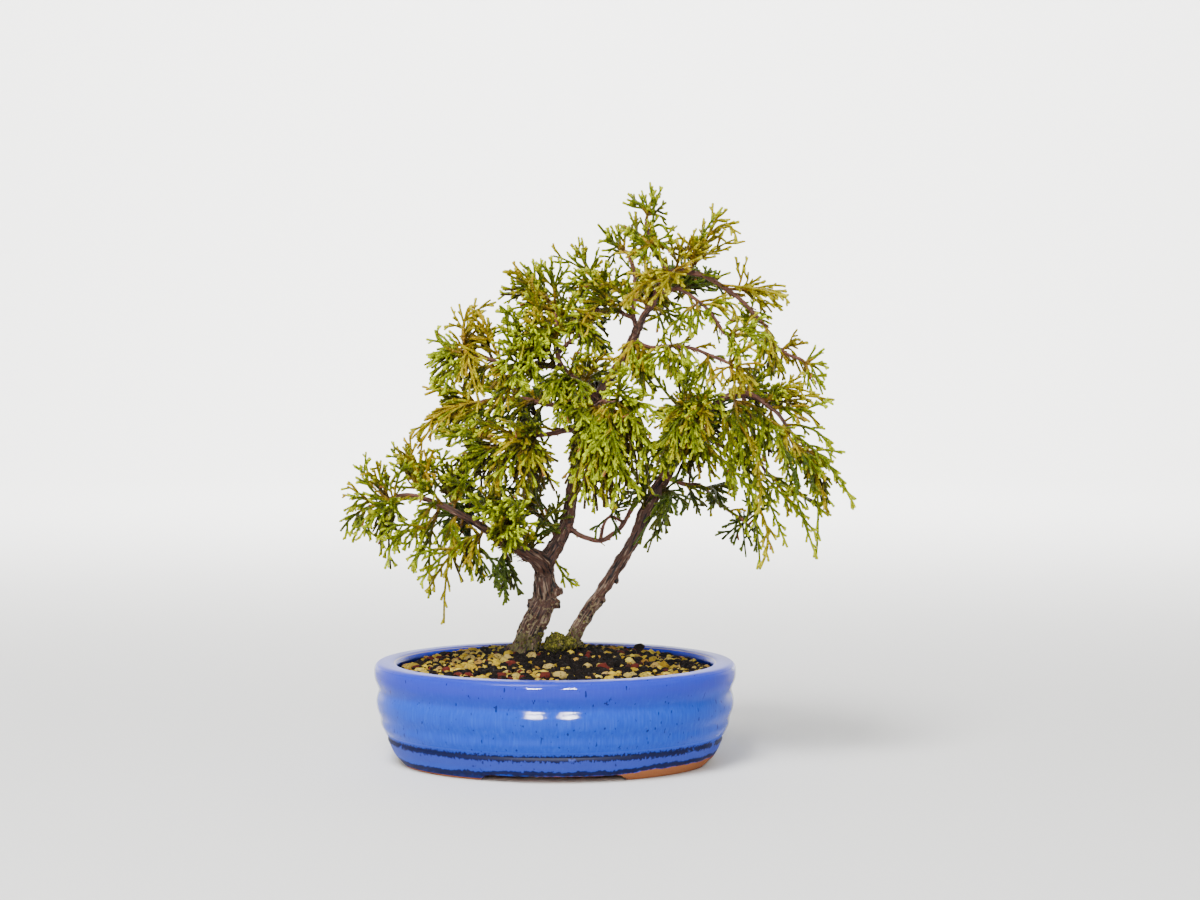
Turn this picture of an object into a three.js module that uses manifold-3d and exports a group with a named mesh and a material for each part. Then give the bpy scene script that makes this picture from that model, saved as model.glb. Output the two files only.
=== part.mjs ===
// Filifera sawara cypress grown as a small twin-trunk tree in an oval glazed pot.
// Millimetres, +Z up. Every place below is measured from the middle of the pot, on
// the surface that its feet stand on; the camera side is -Y.

import * as THREE from 'three';
import { mergeVertices } from 'three/addons/utils/BufferGeometryUtils.js';
import Module from 'manifold-3d';

const wasm = await Module();
wasm.setup();

// Driving dimensions of the pot
const POT_LENGTH = 200;
const POT_WIDTH = 160;
const RIM_HEIGHT = 55.8;
const FLOOR_HEIGHT = 10;
const UNDERSIDE_HEIGHT = 4.5;
const ROUND_SIDES = 32;
const FOOT_GAP_HEIGHT = 3.6;
const FRONT_GAP_WIDTH = 80;
const END_GAP_WIDTH = 44;
const GAP_SLOPE = 5;
const DRAIN_RADIUS = 7;
const DRAIN_OFFSET = 42;
const MESH_SIZE = 24;
const MESH_THICKNESS = 1.2;
const MESH_HOLE = 5;
const MESH_PITCH = 7;

// Driving dimensions of the soil
const SOIL_EDGE = 52.3;
const SOIL_END_DROP = 3;
const MOUND_HEIGHT = 6;
const MOUND_REACH = 50;
const SOIL_RELIEF = 0.9;
const GRAIN_COUNT = 28;
const GRAIN_RADIUS = 3;

// The root block that joins the two trunks below the soil
const ROOT_MIDDLE = { x: -5, y: 17 };
const ROOT_HALF_LENGTH = 24;
const ROOT_HALF_WIDTH = 13;
const ROOT_TOP = 51;
const ROOT_BOTTOM = 30;

// Air between pieces that meet, and the foliage's own sizes
const FIT = 0.4;
const AIR = 0.45;
const BUD_RADIUS = 1.7;
const BUD_REACH = 5;
const BUD_SPREAD = 2.8;
const STEM_ROOT_RADIUS = 1.15;
const STEM_TIP_RADIUS = 0.85;
const SHOOT_RADIUS = 0.85;
const SHOOT_ROOT = 0.9;
const SHOOT_LENGTH = 15;
const SHOOT_SPACING = 13.5;
const SHOOT_ANGLE = 0.85;
const FORK_LENGTH = 8;
const THIRD = (2 * Math.PI) / 3;

// The pot's wall from the middle of its underside to the middle of its floor:
// how far in from the widest oval, and how high
const POT_WALL = [
  [26, UNDERSIDE_HEIGHT], [24, 0], [15, 0], [13, 2.6], [10.1, 7], [7.3, 13.2],
  [8.2, 14.6], [6.5, 15.8], [3.8, 21.5], [3.4, 25.3], [1.5, 32], [1.4, 35.5],
  [2.3, 40.5], [0.3, 47], [0, 51.5], [0.8, 54.2], [3, RIM_HEIGHT], [9.5, RIM_HEIGHT],
  [12.2, 54.6], [13, 52.2], [13.6, 44], [16, 13], [19, FLOOR_HEIGHT],
];

// The soil's side, from its bottom up to the edge of its top
const SOIL_WALL = [[19.5, 10.5], [16.4, 13.3], [14, 44], [13.6, 50]];
const SOIL_RINGS = 8;

// Trunks and branches: [x, y, z, radius] stations, each route starting on the
// middle of what it grows from
const MAIN_TRUNK = [
  [-15, 16.5, 44, 7.4], [-17, 16, 57, 8.3], [-13.5, 15, 71, 6.9], [-8.5, 14, 82, 6.9],
  [-5.5, 14, 89.5, 6.5], [-6, 12.5, 96, 6.1], [-6.5, 11.5, 104, 5.5], [-3.5, 10.5, 112, 4.9],
  [2, 9, 121.5, 4.3], [7, 8, 133, 3.8], [8.5, 7, 144, 3.5], [10.5, 6, 157, 3.2],
  [12.5, 6, 171, 3], [14.5, 5, 182, 3], [18, 4, 192, 3.1], [23.5, 4, 202, 2.9],
  [29, 3, 210.5, 2.7], [34, 2, 217.5, 2.6], [39, 2, 226.5, 2.6], [43.5, 1, 234, 2.8],
  [45, 0, 240, 2.4],
];
const SECOND_TRUNK = [
  [3, 18, 44, 5.6], [6.5, 20, 57, 5.5], [11.5, 19.5, 68.5, 4.4], [16, 19, 77, 4],
  [22, 18, 86, 3.7], [32.5, 16, 103, 3.5], [44.5, 14, 123, 3.6], [48.5, 13, 133.5, 3.8],
  [53.5, 12, 144, 3.9], [58.5, 12, 152.5, 3.8], [63.5, 11, 161.5, 3.4], [68.5, 10, 170.5, 3],
  [74, 9, 179, 2.7], [80, 8, 187.5, 2.4], [86.5, 6, 195.5, 2.1], [93, 4, 201, 1.9],
  [100.5, 1, 203.5, 1.7], [108, -3, 203, 1.5], [115, -6, 198.5, 1.3], [122, -9, 193, 1.2],
  [129.5, -11, 182.5, 1.1], [137, -12, 175.5, 1],
];
const BOUGHS = {
  low_left: [
    [-6.5, 11.5, 104, 5], [-8, 6, 109.5, 4.9], [-13, 3, 114, 4.5], [-20, 0, 118.5, 4],
    [-32, -5, 125.5, 2.9], [-39, -8, 130.5, 2.4], [-49, -11, 136.5, 2.1],
    [-64.5, -14, 144.5, 1.7], [-81, -15, 149, 1.3], [-95, -15, 145, 1],
  ],
  fork: [
    [45, 0, 238, 2.2], [49.5, -1, 247.5, 1.9], [53.5, -2, 252, 1.8], [56.5, -3, 260.5, 1.8],
    [60.5, -4, 267.5, 1.8], [66.5, -4, 271, 1.8], [73, -5, 270, 1.7],
  ],
  cross: [
    [7, 8, 130, 1.8], [11, 9, 126, 1.6], [17, 10, 123, 1.5], [25, 12, 121, 1.5],
    [31, 14, 124, 1.4], [37, 16, 129, 1.4], [44, 15, 141, 1.4], [50, 13, 147, 1.4],
  ],
};
const BRANCHES = {
  leader: [
    [62, -4, 269, 1.5], [60, -2, 274, 1.4], [56, 0, 280, 1.3], [53, 0, 285, 1.2],
    [51, 1, 292, 1.1], [50, 1, 298, 1],
  ],
  top_fork: [
    [45, 0, 239, 1.5], [43, 3, 247, 1.3], [44, 6, 255, 1.2], [44, 9, 268, 1.1],
    [42, 11, 275, 1], [40, 12, 281, 0.9],
  ],
  arch_right: [
    [71, -5, 270, 1.5], [79, -4, 269, 1.4], [86, -2, 266, 1.3], [94, 1, 261, 1.3],
    [102, 4, 255, 1.2], [110, 6, 247, 1.1], [116, 8, 240, 1.1], [120, 9, 231, 1],
    [128, 9, 225, 0.9], [136, 8, 222, 0.9],
  ],
  arch_front: [
    [56.5, -3, 259, 1.4], [62, -8, 260, 1.2], [68, -11, 261, 1.1], [76, -16, 256, 1],
    [84, -20, 249, 1], [92, -24, 237, 0.9],
  ],
  arch_centre: [
    [43.5, 1, 233, 1.6], [49, -4, 230, 1.3], [54, -9, 229, 1.2], [60, -14, 230, 1.1],
    [67, -18, 230, 1], [75, -22, 229, 1], [83, -25, 226, 0.9], [95, -28, 221, 0.9],
  ],
  high_twig: [[44, 7, 259, 1.1], [52, 5, 262, 1], [59, 7, 262, 0.9], [67, 9, 260, 0.9]],
  inner_left: [
    [2, 9, 121, 1.7], [-4, 14, 131, 1.4], [-12, 20, 136, 1.2], [-19, 25, 140, 1], [-27, 30, 141, 0.9],
  ],
  middle_left: [
    [14.5, 5, 183, 2], [7, 2, 183.5, 1.7], [0, -2, 182, 1.5], [-9, -7, 181, 1.2],
    [-19, -12, 180, 1], [-28, -17, 176, 0.9],
  ],
  crown_left: [
    [18, 4, 192, 2], [13, 6, 194, 1.8], [4, 9, 196, 1.6], [-6, 12, 197.5, 1.4],
    [-18, 15, 200, 1.2], [-30, 17.5, 200.5, 1], [-42, 19, 198, 0.9],
  ],
  upper_left: [
    [23, 4, 201, 2], [16, -2, 208, 1.8], [8, -6, 214, 1.7], [3, -9, 221, 1.5],
    [1, -9, 231, 1.3], [1, -6, 242, 1.1], [0, -1, 252, 1],
  ],
  upper_left_low: [
    [5, -8, 218, 1.4], [-5, -14, 219, 1.3], [-14, -18, 217.5, 1.2], [-23, -20, 218, 1.1],
    [-33, -22, 222.5, 1], [-45, -24, 226, 0.8],
  ],
  upper_inner: [[2, -9, 226, 1.3], [7, -2, 231, 1.1], [14, 5, 236, 1], [20, 12, 241, 0.9]],
  high_left: [
    [43.5, 2, 245, 1.4], [36, 10, 248, 1.2], [29, 17, 253, 1.1], [24, 22, 260, 1], [21, 26, 266, 0.9],
  ],
  high_left_low: [[32, 14, 250, 1.1], [23, 13, 249, 1], [14, 10, 246, 0.9], [8, 6, 243, 0.8]],
  front: [
    [18, 4, 190, 2], [22, -8, 196, 1.6], [26, -22, 200, 1.3], [30, -34, 201, 1.1], [33, -42, 201, 1],
  ],
  front_right: [[74, 9, 179, 2], [75, -3, 186, 1.5], [73, -18, 192, 1.2], [70, -34, 195, 1]],
  back: [[18, 4, 192, 2], [15, 15, 198, 1.5], [15, 27, 204, 1.2], [17, 40, 208, 1]],
  back_high: [[44, 1, 236, 1.6], [48, 12, 243, 1.3], [51, 24, 248, 1.1], [51, 36, 250, 0.9]],
  back_right: [[76, 9, 182, 1.8], [78, 20, 186, 1.4], [81, 34, 188, 1.1], [84, 46, 187, 0.9]],
  back_low: [
    [61, 11, 157, 1.6], [72, 20, 152, 1.3], [82, 29, 150, 1.1], [93, 36, 139, 1], [107, 42, 129, 0.9],
  ],
  loop: [[25, 12, 121, 1.3], [26, 8.5, 127, 1], [27.5, 7.5, 132, 0.9], [31, 9, 135, 0.9], [38, 16, 131, 1]],
  bare: [
    [103, 0, 203, 1.3], [108, 2, 190, 1.1], [111, 0, 175, 1], [115, -3, 162, 0.9],
    [125, -6, 154, 0.9], [133, -9, 149, 0.8], [145, -12, 144, 0.7],
  ],
};

// Burls, the mossy knob between the trunks and lumps of bark: place, radius, flattening
const BURLS = [
  [-3, 13, 61, 6.5, 0.7], [8, 13, 62.5, 3.6, 0.8], [-9, 10, 63, 3.8, 0.9], [-24, 15, 60, 3.6, 0.7],
  [1, 10, 93, 3, 1], [0, 10, 86.5, 3.2, 1], [-14.5, 12, 85, 3.4, 1], [12, 21, 62, 3.8, 0.7],
];

// Sprays of foliage: name, colour, the point of the bough that each grows from, and
// where its leafy stems end
const SPRAYS = [
  ['low_left_end', 'green', [-95, -15, 145], [-112, -22, 154], [-117, -12, 129], [-102, -30, 129]],
  ['low_left_outer', 'green', [-82, -15, 149],
    [-97, -8, 169], [-80, -32, 167], [-94, -26, 124], [-90, -10, 108]],
  ['low_left_rise', 'green', [-72, -14, 147], [-78, -24, 182], [-90, 0, 173], [-66, -40, 175]],
  ['low_left_fall', 'lime', [-63, -14, 144], [-76, -30, 108], [-68, -12, 94]],
  ['low_left_middle', 'green', [-55, -12, 139], [-62, -26, 173], [-54, 4, 164], [-43, -40, 162]],
  ['low_left_long', 'golden', [-50, -11, 137], [-60, -24, 80], [-60, 4, 103]],
  ['low_left_inner', 'green', [-39, -8, 130.5], [-46, -24, 106], [-39, 2, 100], [-56, -36, 118]],
  ['low_left_under', 'dark', [-27, -3, 122.5], [-33, -14, 98], [-27, 8, 87], [-19, -4, 93]],
  ['low_left_front', 'lime', [-24, -2, 121], [-44, -52, 151], [-27, -50, 149], [-19, -48, 130]],
  ['low_left_back', 'dark', [-45, -10, 134], [-71, 30, 131], [-59, 36, 152], [-49, 34, 108]],
  ['inner_left_back', 'dark', [-27, 30, 141], [-45, 52, 140], [-36, 42, 159], [-23, 50, 115]],
  ['middle_left_end', 'green', [-42, 19, 198], [-67, 14, 209], [-66, 24, 192], [-61, 38, 182]],
  ['middle_left_over', 'green', [-26, 17, 200.5], [-46, 34, 211], [-32, 42, 214]],
  ['middle_left_back', 'dark', [-8, 12.5, 198], [-21, 50, 179], [-32, 58, 197], [-9, 54, 211]],
  ['middle_left_low', 'green', [-28, -17, 176], [-48, -22, 162], [-46, -12, 150], [-48, -32, 174]],
  ['middle_left_front', 'lime', [-11, -8, 181],
    [-29, -40, 160], [-16, -30, 146], [-26, -46, 190], [0, -22, 152]],
  ['upper_left_end', 'green', [-45, -24, 226], [-62, -30, 241], [-67, -22, 213], [-64, -8, 228]],
  ['upper_left_rise', 'green', [-31, -21.5, 221.5],
    [-46, -28, 251], [-34, -14, 255], [-40, -38, 197], [-48, -14, 204]],
  ['upper_left_front', 'lime', [-16, -18, 217.5], [-27, -48, 240], [-15, -56, 206], [-7, -46, 232]],
  ['upper_middle_end', 'green', [0, -1, 252], [-24, -8, 271], [-15, 8, 273], [-29, 16, 258]],
  ['upper_middle_front', 'green', [1, -8, 234], [-10, -38, 246], [-21, -40, 231], [6, -40, 249]],
  ['upper_middle_low', 'lime', [10, -5, 213], [-4, -54, 204], [14, -50, 202], [3, -40, 189]],
  ['upper_inner_back', 'dark', [20, 12, 241], [2, 46, 232], [25, 56, 244], [11, 50, 256]],
  ['high_left_end', 'green', [21, 26, 266], [-1, 20, 279], [11, 36, 285], [24, 14, 278]],
  ['high_left_low', 'green', [8, 6, 243], [-9, 22, 257], [-7, 24, 237], [11, -16, 255]],
  ['leader_end', 'green', [50, 1, 298], [54, 2, 315], [42, -6, 309], [61, 12, 299]],
  ['leader_side', 'golden', [54, 0, 283], [64, -14, 290], [45, 14, 296], [46, -24, 276]],
  ['high_middle_end', 'green', [40, 12, 281], [30, 4, 286], [39, 24, 292], [29, 34, 276]],
  ['high_right_end', 'golden', [73, -5, 270], [91, -8, 305], [99, 6, 288], [74, -22, 290]],
  ['high_right_front', 'golden', [63.5, -4, 269.5], [36, -44, 253], [52, -48, 256], [73, -40, 276]],
  ['high_back', 'dark', [67, 9, 260], [76, 52, 276], [93, 46, 260], [56, 54, 266]],
  ['arch_right_rise', 'golden', [94, 1, 261], [104, 10, 274], [127, -4, 257], [120, 18, 248]],
  ['arch_right_back', 'lime', [113, 7, 243.5], [106, 28, 232], [99, 36, 244]],
  ['arch_right_end', 'lime', [136, 8, 222], [144, 4, 225], [148, 12, 214], [139, 2, 206]],
  ['arch_right_low', 'golden', [124, 9, 228], [124, 22, 211], [134, 24, 233]],
  ['arch_front_end', 'lime', [92, -24, 237], [113, -32, 235], [110, -14, 243], [100, -40, 222]],
  ['arch_front_hang', 'green', [78, -17, 254.5], [76, -44, 238], [65, -36, 239]],
  ['arch_centre_end', 'green', [95, -28, 221], [107, -30, 214], [85, -54, 214], [96, -46, 205]],
  ['arch_centre_hang', 'lime', [62, -15, 230], [51, -50, 219], [61, -36, 213], [73, -48, 217]],
  ['front_left', 'lime', [25, -18, 199], [14, -56, 174], [26, -68, 166], [8, -66, 190]],
  ['front_drop', 'lime', [29, -32, 201], [31, -44, 144], [48, -50, 152], [39, -74, 168]],
  ['front_end', 'lime', [33, -42, 201], [46, -66, 181], [52, -78, 196], [36, -74, 220]],
  ['front_right_end', 'lime', [70, -34, 195],
    [55, -56, 168], [74, -62, 218], [88, -72, 204], [74, -74, 176]],
  ['right_out', 'golden', [112, -5, 200.5], [151, -10, 200], [146, 6, 186], [133, -28, 214]],
  ['right_out_back', 'dark', [104, -1, 203.5], [127, 46, 192], [115, 42, 211], [107, 50, 180]],
  ['right_long_end', 'lime', [137, -12, 175.5], [164, -8, 142], [156, -20, 172], [142, -24, 115]],
  ['right_long_inner', 'green', [125, -10, 189], [148, -26, 140], [147, 6, 151], [129, -40, 148]],
  ['right_drop_outer', 'golden', [98, 2, 203], [109, -34, 140], [102, -54, 166], [122, -46, 165]],
  ['right_drop_inner', 'lime', [90, 5, 198.5], [112, -20, 109], [97, -38, 148]],
  ['right_drop_low', 'green', [80, 8, 187.5], [95, -26, 152], [85, -44, 165]],
  ['back_right_end', 'dark', [84, 46, 187], [62, 84, 190], [104, 84, 198], [88, 84, 156]],
  ['low_right_back', 'dark', [107, 42, 129], [116, 48, 114], [95, 60, 117], [113, 58, 142]],
  ['second_low_front', 'green', [60, 12, 155], [57, -12, 131], [51, 0, 116], [70, -26, 144]],
  ['back_end', 'green', [17, 40, 208], [0, 78, 216], [36, 84, 208], [14, 80, 176]],
  ['back_high_end', 'green', [51, 36, 250], [30, 78, 260], [68, 76, 250], [50, 66, 282]],
];

// Finishes: colour, roughness and metalness of each kind of piece
const FINISHES = {
  glaze: [0x4a62b8, 0.15],
  soil: [0x6b5a3c, 0.95],
  bark: [0x5c4032, 0.9],
  mesh: [0x20221f, 0.6],
  green: [0x6f8f2e, 0.6],
  lime: [0xa3ad33, 0.55],
  golden: [0xa9862c, 0.6],
  dark: [0x42602b, 0.65],
};

// Random numbers that come out the same each time for the same seed
class Dice {
  constructor(seed) {
    this.state = seed >>> 0;
    for (let warm = 0; warm < 3; warm += 1) this.roll();
  }

  roll() {
    this.state = (Math.imul(this.state, 1664525) + 1013904223) >>> 0;
    return this.state / 4294967296;
  }

  between(low, high) {
    return low + (high - low) * this.roll();
  }
}

const vec = ([x, y, z]) => new THREE.Vector3(x, y, z);

function finish(kind) {
  const [color, roughness] = FINISHES[kind];
  return new THREE.MeshStandardMaterial({ color, roughness, metalness: 0, flatShading: true });
}

// A solid from a closed geometry, its shared vertices merged and its faces pointing out
function solid(geometry) {
  const bare = new THREE.BufferGeometry();
  bare.setAttribute('position', geometry.attributes.position.clone());
  if (geometry.index) bare.setIndex(geometry.index.clone());
  const merged = mergeVertices(bare);
  const points = merged.attributes.position.array;
  const corner = (i) => new THREE.Vector3().fromArray(points, 3 * i);
  const faces = [];
  let volume = 0;
  for (let i = 0; i < merged.index.count; i += 3) {
    const [a, b, c] = [0, 1, 2].map((k) => merged.index.getX(i + k));
    if (a === b || b === c || c === a) continue;
    faces.push([a, b, c]);
    volume += corner(a).dot(corner(b).cross(corner(c)));
  }
  const turned = volume < 0 ? faces.map(([a, b, c]) => [a, c, b]) : faces;
  return new wasm.Manifold(new wasm.Mesh({
    numProp: 3,
    vertProperties: new Float32Array(points),
    triVerts: new Uint32Array(turned.flat()),
  }));
}

// The largest body of a solid: scraps that a cut or a join leaves loose are dropped
function mainBody(whole) {
  const bodies = whole.decompose().sort((a, b) => b.volume() - a.volume());
  return bodies[0];
}

function mesh(name, body, kind) {
  const { vertProperties, triVerts } = body.simplify(0.01).getMesh();
  const geometry = new THREE.BufferGeometry();
  geometry.setAttribute('position', new THREE.BufferAttribute(new Float32Array(vertProperties), 3));
  geometry.setIndex(new THREE.BufferAttribute(new Uint32Array(triVerts), 1));
  const made = new THREE.Mesh(geometry, finish(kind));
  made.name = name;
  return made;
}

// Round geometry from [inset, height] points, turned about Z and stretched to the
// pot's oval, so that the same inset shows all the way round
function ovalLathe(outline, startHeight, endHeight) {
  const mean = (POT_LENGTH + POT_WIDTH) / 4;
  const stretch = (POT_LENGTH - POT_WIDTH) / 4;
  const profile = [
    new THREE.Vector2(0, startHeight),
    ...outline.map(([inset, height]) => new THREE.Vector2(mean - inset, height)),
    new THREE.Vector2(0, endHeight),
  ];
  const geometry = new THREE.LatheGeometry(profile, ROUND_SIDES).rotateX(Math.PI / 2);
  const place = geometry.attributes.position;
  for (let i = 0; i < place.count; i += 1) {
    const radius = Math.hypot(place.getX(i), place.getY(i));
    const share = stretch * Math.min(1, radius / (2 * stretch)) / Math.max(radius, 1e-6);
    place.setX(i, place.getX(i) * (1 + share));
    place.setY(i, place.getY(i) * (1 - share));
  }
  return geometry;
}

// Opening under the wall between two feet, cut right through along Y
function footGap(width) {
  const half = width / 2;
  const outline = new THREE.Shape([
    new THREE.Vector2(-half - 1, -1),
    new THREE.Vector2(half + 1, -1),
    new THREE.Vector2(half - GAP_SLOPE, FOOT_GAP_HEIGHT),
    new THREE.Vector2(-half + GAP_SLOPE, FOOT_GAP_HEIGHT),
  ]);
  return new THREE.ExtrudeGeometry(outline, { depth: 2 * POT_LENGTH, bevelEnabled: false })
    .translate(0, 0, -POT_LENGTH)
    .rotateX(Math.PI / 2);
}

function pot() {
  let body = solid(ovalLathe(POT_WALL, UNDERSIDE_HEIGHT, FLOOR_HEIGHT));
  body = body.subtract(solid(footGap(FRONT_GAP_WIDTH)));
  body = body.subtract(solid(footGap(END_GAP_WIDTH).rotateZ(Math.PI / 2)));
  for (const x of [-DRAIN_OFFSET, DRAIN_OFFSET]) {
    const drain = new THREE.CylinderGeometry(DRAIN_RADIUS, DRAIN_RADIUS, 2 * FLOOR_HEIGHT, 12);
    body = body.subtract(solid(drain.rotateX(Math.PI / 2).translate(x, 0, FLOOR_HEIGHT)));
  }
  return mesh('pot', body, 'glaze');
}

// Square of plastic mesh that lies over a drain hole, under the soil
function drainMesh(name, x) {
  let sheet = solid(new THREE.BoxGeometry(MESH_SIZE, MESH_SIZE, MESH_THICKNESS));
  for (const across of [-MESH_PITCH, 0, MESH_PITCH]) {
    for (const along of [-MESH_PITCH, 0, MESH_PITCH]) {
      const hole = new THREE.BoxGeometry(MESH_HOLE, MESH_HOLE, 2 * MESH_THICKNESS);
      sheet = sheet.subtract(solid(hole.translate(across, along, 0)));
    }
  }
  return mesh(name, sheet.translate(x, 0, FLOOR_HEIGHT + FIT + MESH_THICKNESS / 2), 'mesh');
}

// Height of the soil before its relief: lower at the pot's ends, raised round the trunks
function soilLevel(x, y) {
  const away = Math.hypot(x - ROOT_MIDDLE.x, y - ROOT_MIDDLE.y) / MOUND_REACH;
  return SOIL_EDGE - SOIL_END_DROP * (2 * x / POT_LENGTH) ** 2 + MOUND_HEIGHT * Math.exp(-away * away);
}

function soilRelief(x, y) {
  return SOIL_RELIEF * (Math.sin(0.83 * x + 0.31 * y) + Math.sin(0.97 * y - 0.41 * x)) / 2;
}

// Block of roots below the two trunks, grown on every side by some air
function rootBlock(grown) {
  const share = grown / ROOT_HALF_WIDTH;
  const profile = [
    new THREE.Vector2(0, ROOT_BOTTOM - grown),
    new THREE.Vector2(0.7 + share, ROOT_BOTTOM - grown),
    new THREE.Vector2(1 + share, ROOT_TOP - 6),
    new THREE.Vector2(0.9 + share, ROOT_TOP + grown),
    new THREE.Vector2(0, ROOT_TOP + grown),
  ];
  return solid(new THREE.LatheGeometry(profile, 12)
    .rotateX(Math.PI / 2)
    .scale(ROOT_HALF_LENGTH, ROOT_HALF_WIDTH, 1)
    .translate(ROOT_MIDDLE.x, ROOT_MIDDLE.y, 0));
}

// All of the wood that stands in the soil, grown by some air
function rootHole(grown) {
  const thicker = (stations) => stations.slice(0, 4).map(([x, y, z, radius]) => [x, y, z, radius + grown]);
  return wasm.Manifold.union([
    rootBlock(grown),
    limb(thicker(MAIN_TRUNK), 8, 0.07),
    limb(thicker(SECOND_TRUNK), 7, 0.06),
    ...BURLS.filter(([, , z]) => z < SOIL_EDGE + 2 * MOUND_HEIGHT)
      .map(([x, y, z, radius, flat]) => burl([x, y, z, radius + 1.5 * grown, flat])),
  ]);
}

// Stones of the gravel that stand proud, kept off the rim and the trunks
function grains() {
  const dice = new Dice(11);
  const made = [];
  while (made.length < GRAIN_COUNT) {
    const x = dice.between(-80, 80);
    const y = dice.between(-60, 60);
    const radius = dice.between(0.75, 1.1) * GRAIN_RADIUS;
    const turn = [dice.between(0, 3), dice.between(0, 3), dice.between(0, 3)];
    const toEdge = Math.hypot(x / 82, y / 62);
    const toRoots = Math.hypot((x - ROOT_MIDDLE.x) / 32, (y - ROOT_MIDDLE.y) / 20);
    if (toEdge > 1 || toRoots < 1) continue;
    const grain = new THREE.OctahedronGeometry(radius).scale(1.1, 0.9, 0.75);
    grain.rotateX(turn[0]).rotateY(turn[1]).rotateZ(turn[2]);
    made.push(solid(grain.translate(x, y, soilLevel(x, y) + 0.3 * radius)));
  }
  return made;
}

function soil() {
  const rimInset = SOIL_WALL.at(-1)[0];
  const mean = (POT_LENGTH + POT_WIDTH) / 4;
  const top = [];
  for (let ring = 1; ring < SOIL_RINGS; ring += 1) {
    top.push([rimInset + (mean - rimInset) * ring / SOIL_RINGS, 50]);
  }
  const geometry = ovalLathe([...SOIL_WALL, ...top], SOIL_WALL[0][1], 50);
  const place = geometry.attributes.position;
  for (let i = 0; i < place.count; i += 1) {
    if (place.getZ(i) < 49) continue;
    const [x, y] = [place.getX(i), place.getY(i)];
    place.setZ(i, soilLevel(x, y) + soilRelief(x, y));
  }
  let body = wasm.Manifold.union([solid(geometry), ...grains()]);
  body = body.subtract(rootHole(FIT));
  for (const x of [-DRAIN_OFFSET, DRAIN_OFFSET]) {
    const room = new THREE.BoxGeometry(MESH_SIZE + 1, MESH_SIZE + 1, 4);
    body = body.subtract(solid(room.translate(x, 0, FLOOR_HEIGHT + MESH_THICKNESS + FIT - 1.6)));
  }
  return mesh('soil', mainBody(body), 'soil');
}

// Closed tapering tube through stations, with rings square to the route and the
// flutes that bark makes
function limb(stations, sides, flute = 0) {
  const route = stations.map(vec);
  const points = [];
  let across = new THREE.Vector3(0.3, 1, 0.1).normalize();
  route.forEach((middle, i) => {
    const ahead = route[Math.min(i + 1, route.length - 1)].clone().sub(route[Math.max(i - 1, 0)]).normalize();
    across = across.clone().addScaledVector(ahead, -across.dot(ahead)).normalize();
    const upward = ahead.clone().cross(across);
    for (let side = 0; side < sides; side += 1) {
      const angle = (2 * Math.PI * side) / sides;
      const radius = stations[i][3] * (1 + flute * Math.cos(3 * angle + 1.1 * i));
      points.push(middle.clone()
        .addScaledVector(across, radius * Math.cos(angle))
        .addScaledVector(upward, radius * Math.sin(angle)));
    }
  });
  const faces = [];
  const last = (route.length - 1) * sides;
  for (let side = 2; side < sides; side += 1) {
    faces.push(0, side, side - 1, last, last + side - 1, last + side);
  }
  for (let low = 0; low < last; low += sides) {
    for (let side = 0; side < sides; side += 1) {
      const next = (side + 1) % sides;
      faces.push(low + side, low + next, low + sides + next);
      faces.push(low + side, low + sides + next, low + sides + side);
    }
  }
  return shape(points, faces);
}

function shape(points, faces) {
  const geometry = new THREE.BufferGeometry().setFromPoints(points);
  geometry.setIndex(faces);
  return solid(geometry);
}

function burl([x, y, z, radius, flat]) {
  return solid(new THREE.IcosahedronGeometry(radius)
    .rotateX(x)
    .scale(1, 1, flat)
    .translate(x, y, z));
}

function woodLimbs() {
  return [
    limb(MAIN_TRUNK, 8, 0.07),
    limb(SECOND_TRUNK, 7, 0.06),
    ...Object.values(BOUGHS).map((stations) => limb(stations, 5, 0.04)),
    ...Object.values(BRANCHES).map((stations) => limb(stations, stations[0][3] > 1.5 ? 4 : 3)),
  ];
}

function wood() {
  const grown = wasm.Manifold.union([rootBlock(0), ...woodLimbs(), ...BURLS.map(burl)]);
  return mesh('tree_wood', mainBody(grown), 'bark');
}

// What is already taken: thick lines from a to b, each with the piece that it is in
const taken = [];

function claim(owner, lines) {
  for (const line of lines) taken.push({ owner, ...line });
}

// Shortest distance between the lines a-b and c-d
function lineDistance(a, b, c, d) {
  const one = b.clone().sub(a);
  const two = d.clone().sub(c);
  const apart = a.clone().sub(c);
  const [aa, ab, bb] = [one.dot(one) + 1e-9, one.dot(two), two.dot(two) + 1e-9];
  const [ac, bc] = [one.dot(apart), two.dot(apart)];
  const cross = aa * bb - ab * ab;
  let s = cross > 1e-9 ? THREE.MathUtils.clamp((ab * bc - ac * bb) / cross, 0, 1) : 0;
  const t = THREE.MathUtils.clamp((ab * s + bc) / bb, 0, 1);
  s = THREE.MathUtils.clamp((ab * t - ac) / aa, 0, 1);
  return apart.addScaledVector(one, s).addScaledVector(two, -t).length();
}

// Least air between some lines and all that is taken and not skipped
function air(lines, skip) {
  let least = Infinity;
  for (const other of taken) {
    if (skip(other)) continue;
    for (const line of lines) {
      const gap = lineDistance(line.a, line.b, other.a, other.b) - line.radius - other.radius;
      least = Math.min(least, gap);
    }
  }
  return least;
}

function claimWood() {
  const routes = [MAIN_TRUNK, SECOND_TRUNK, ...Object.values(BOUGHS), ...Object.values(BRANCHES)];
  for (const stations of routes) {
    for (let i = 1; i < stations.length; i += 1) {
      const radius = 1.07 * Math.max(stations[i - 1][3], stations[i][3]);
      claim('tree_wood', [{ a: vec(stations[i - 1]), b: vec(stations[i]), radius }]);
    }
  }
}

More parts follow.
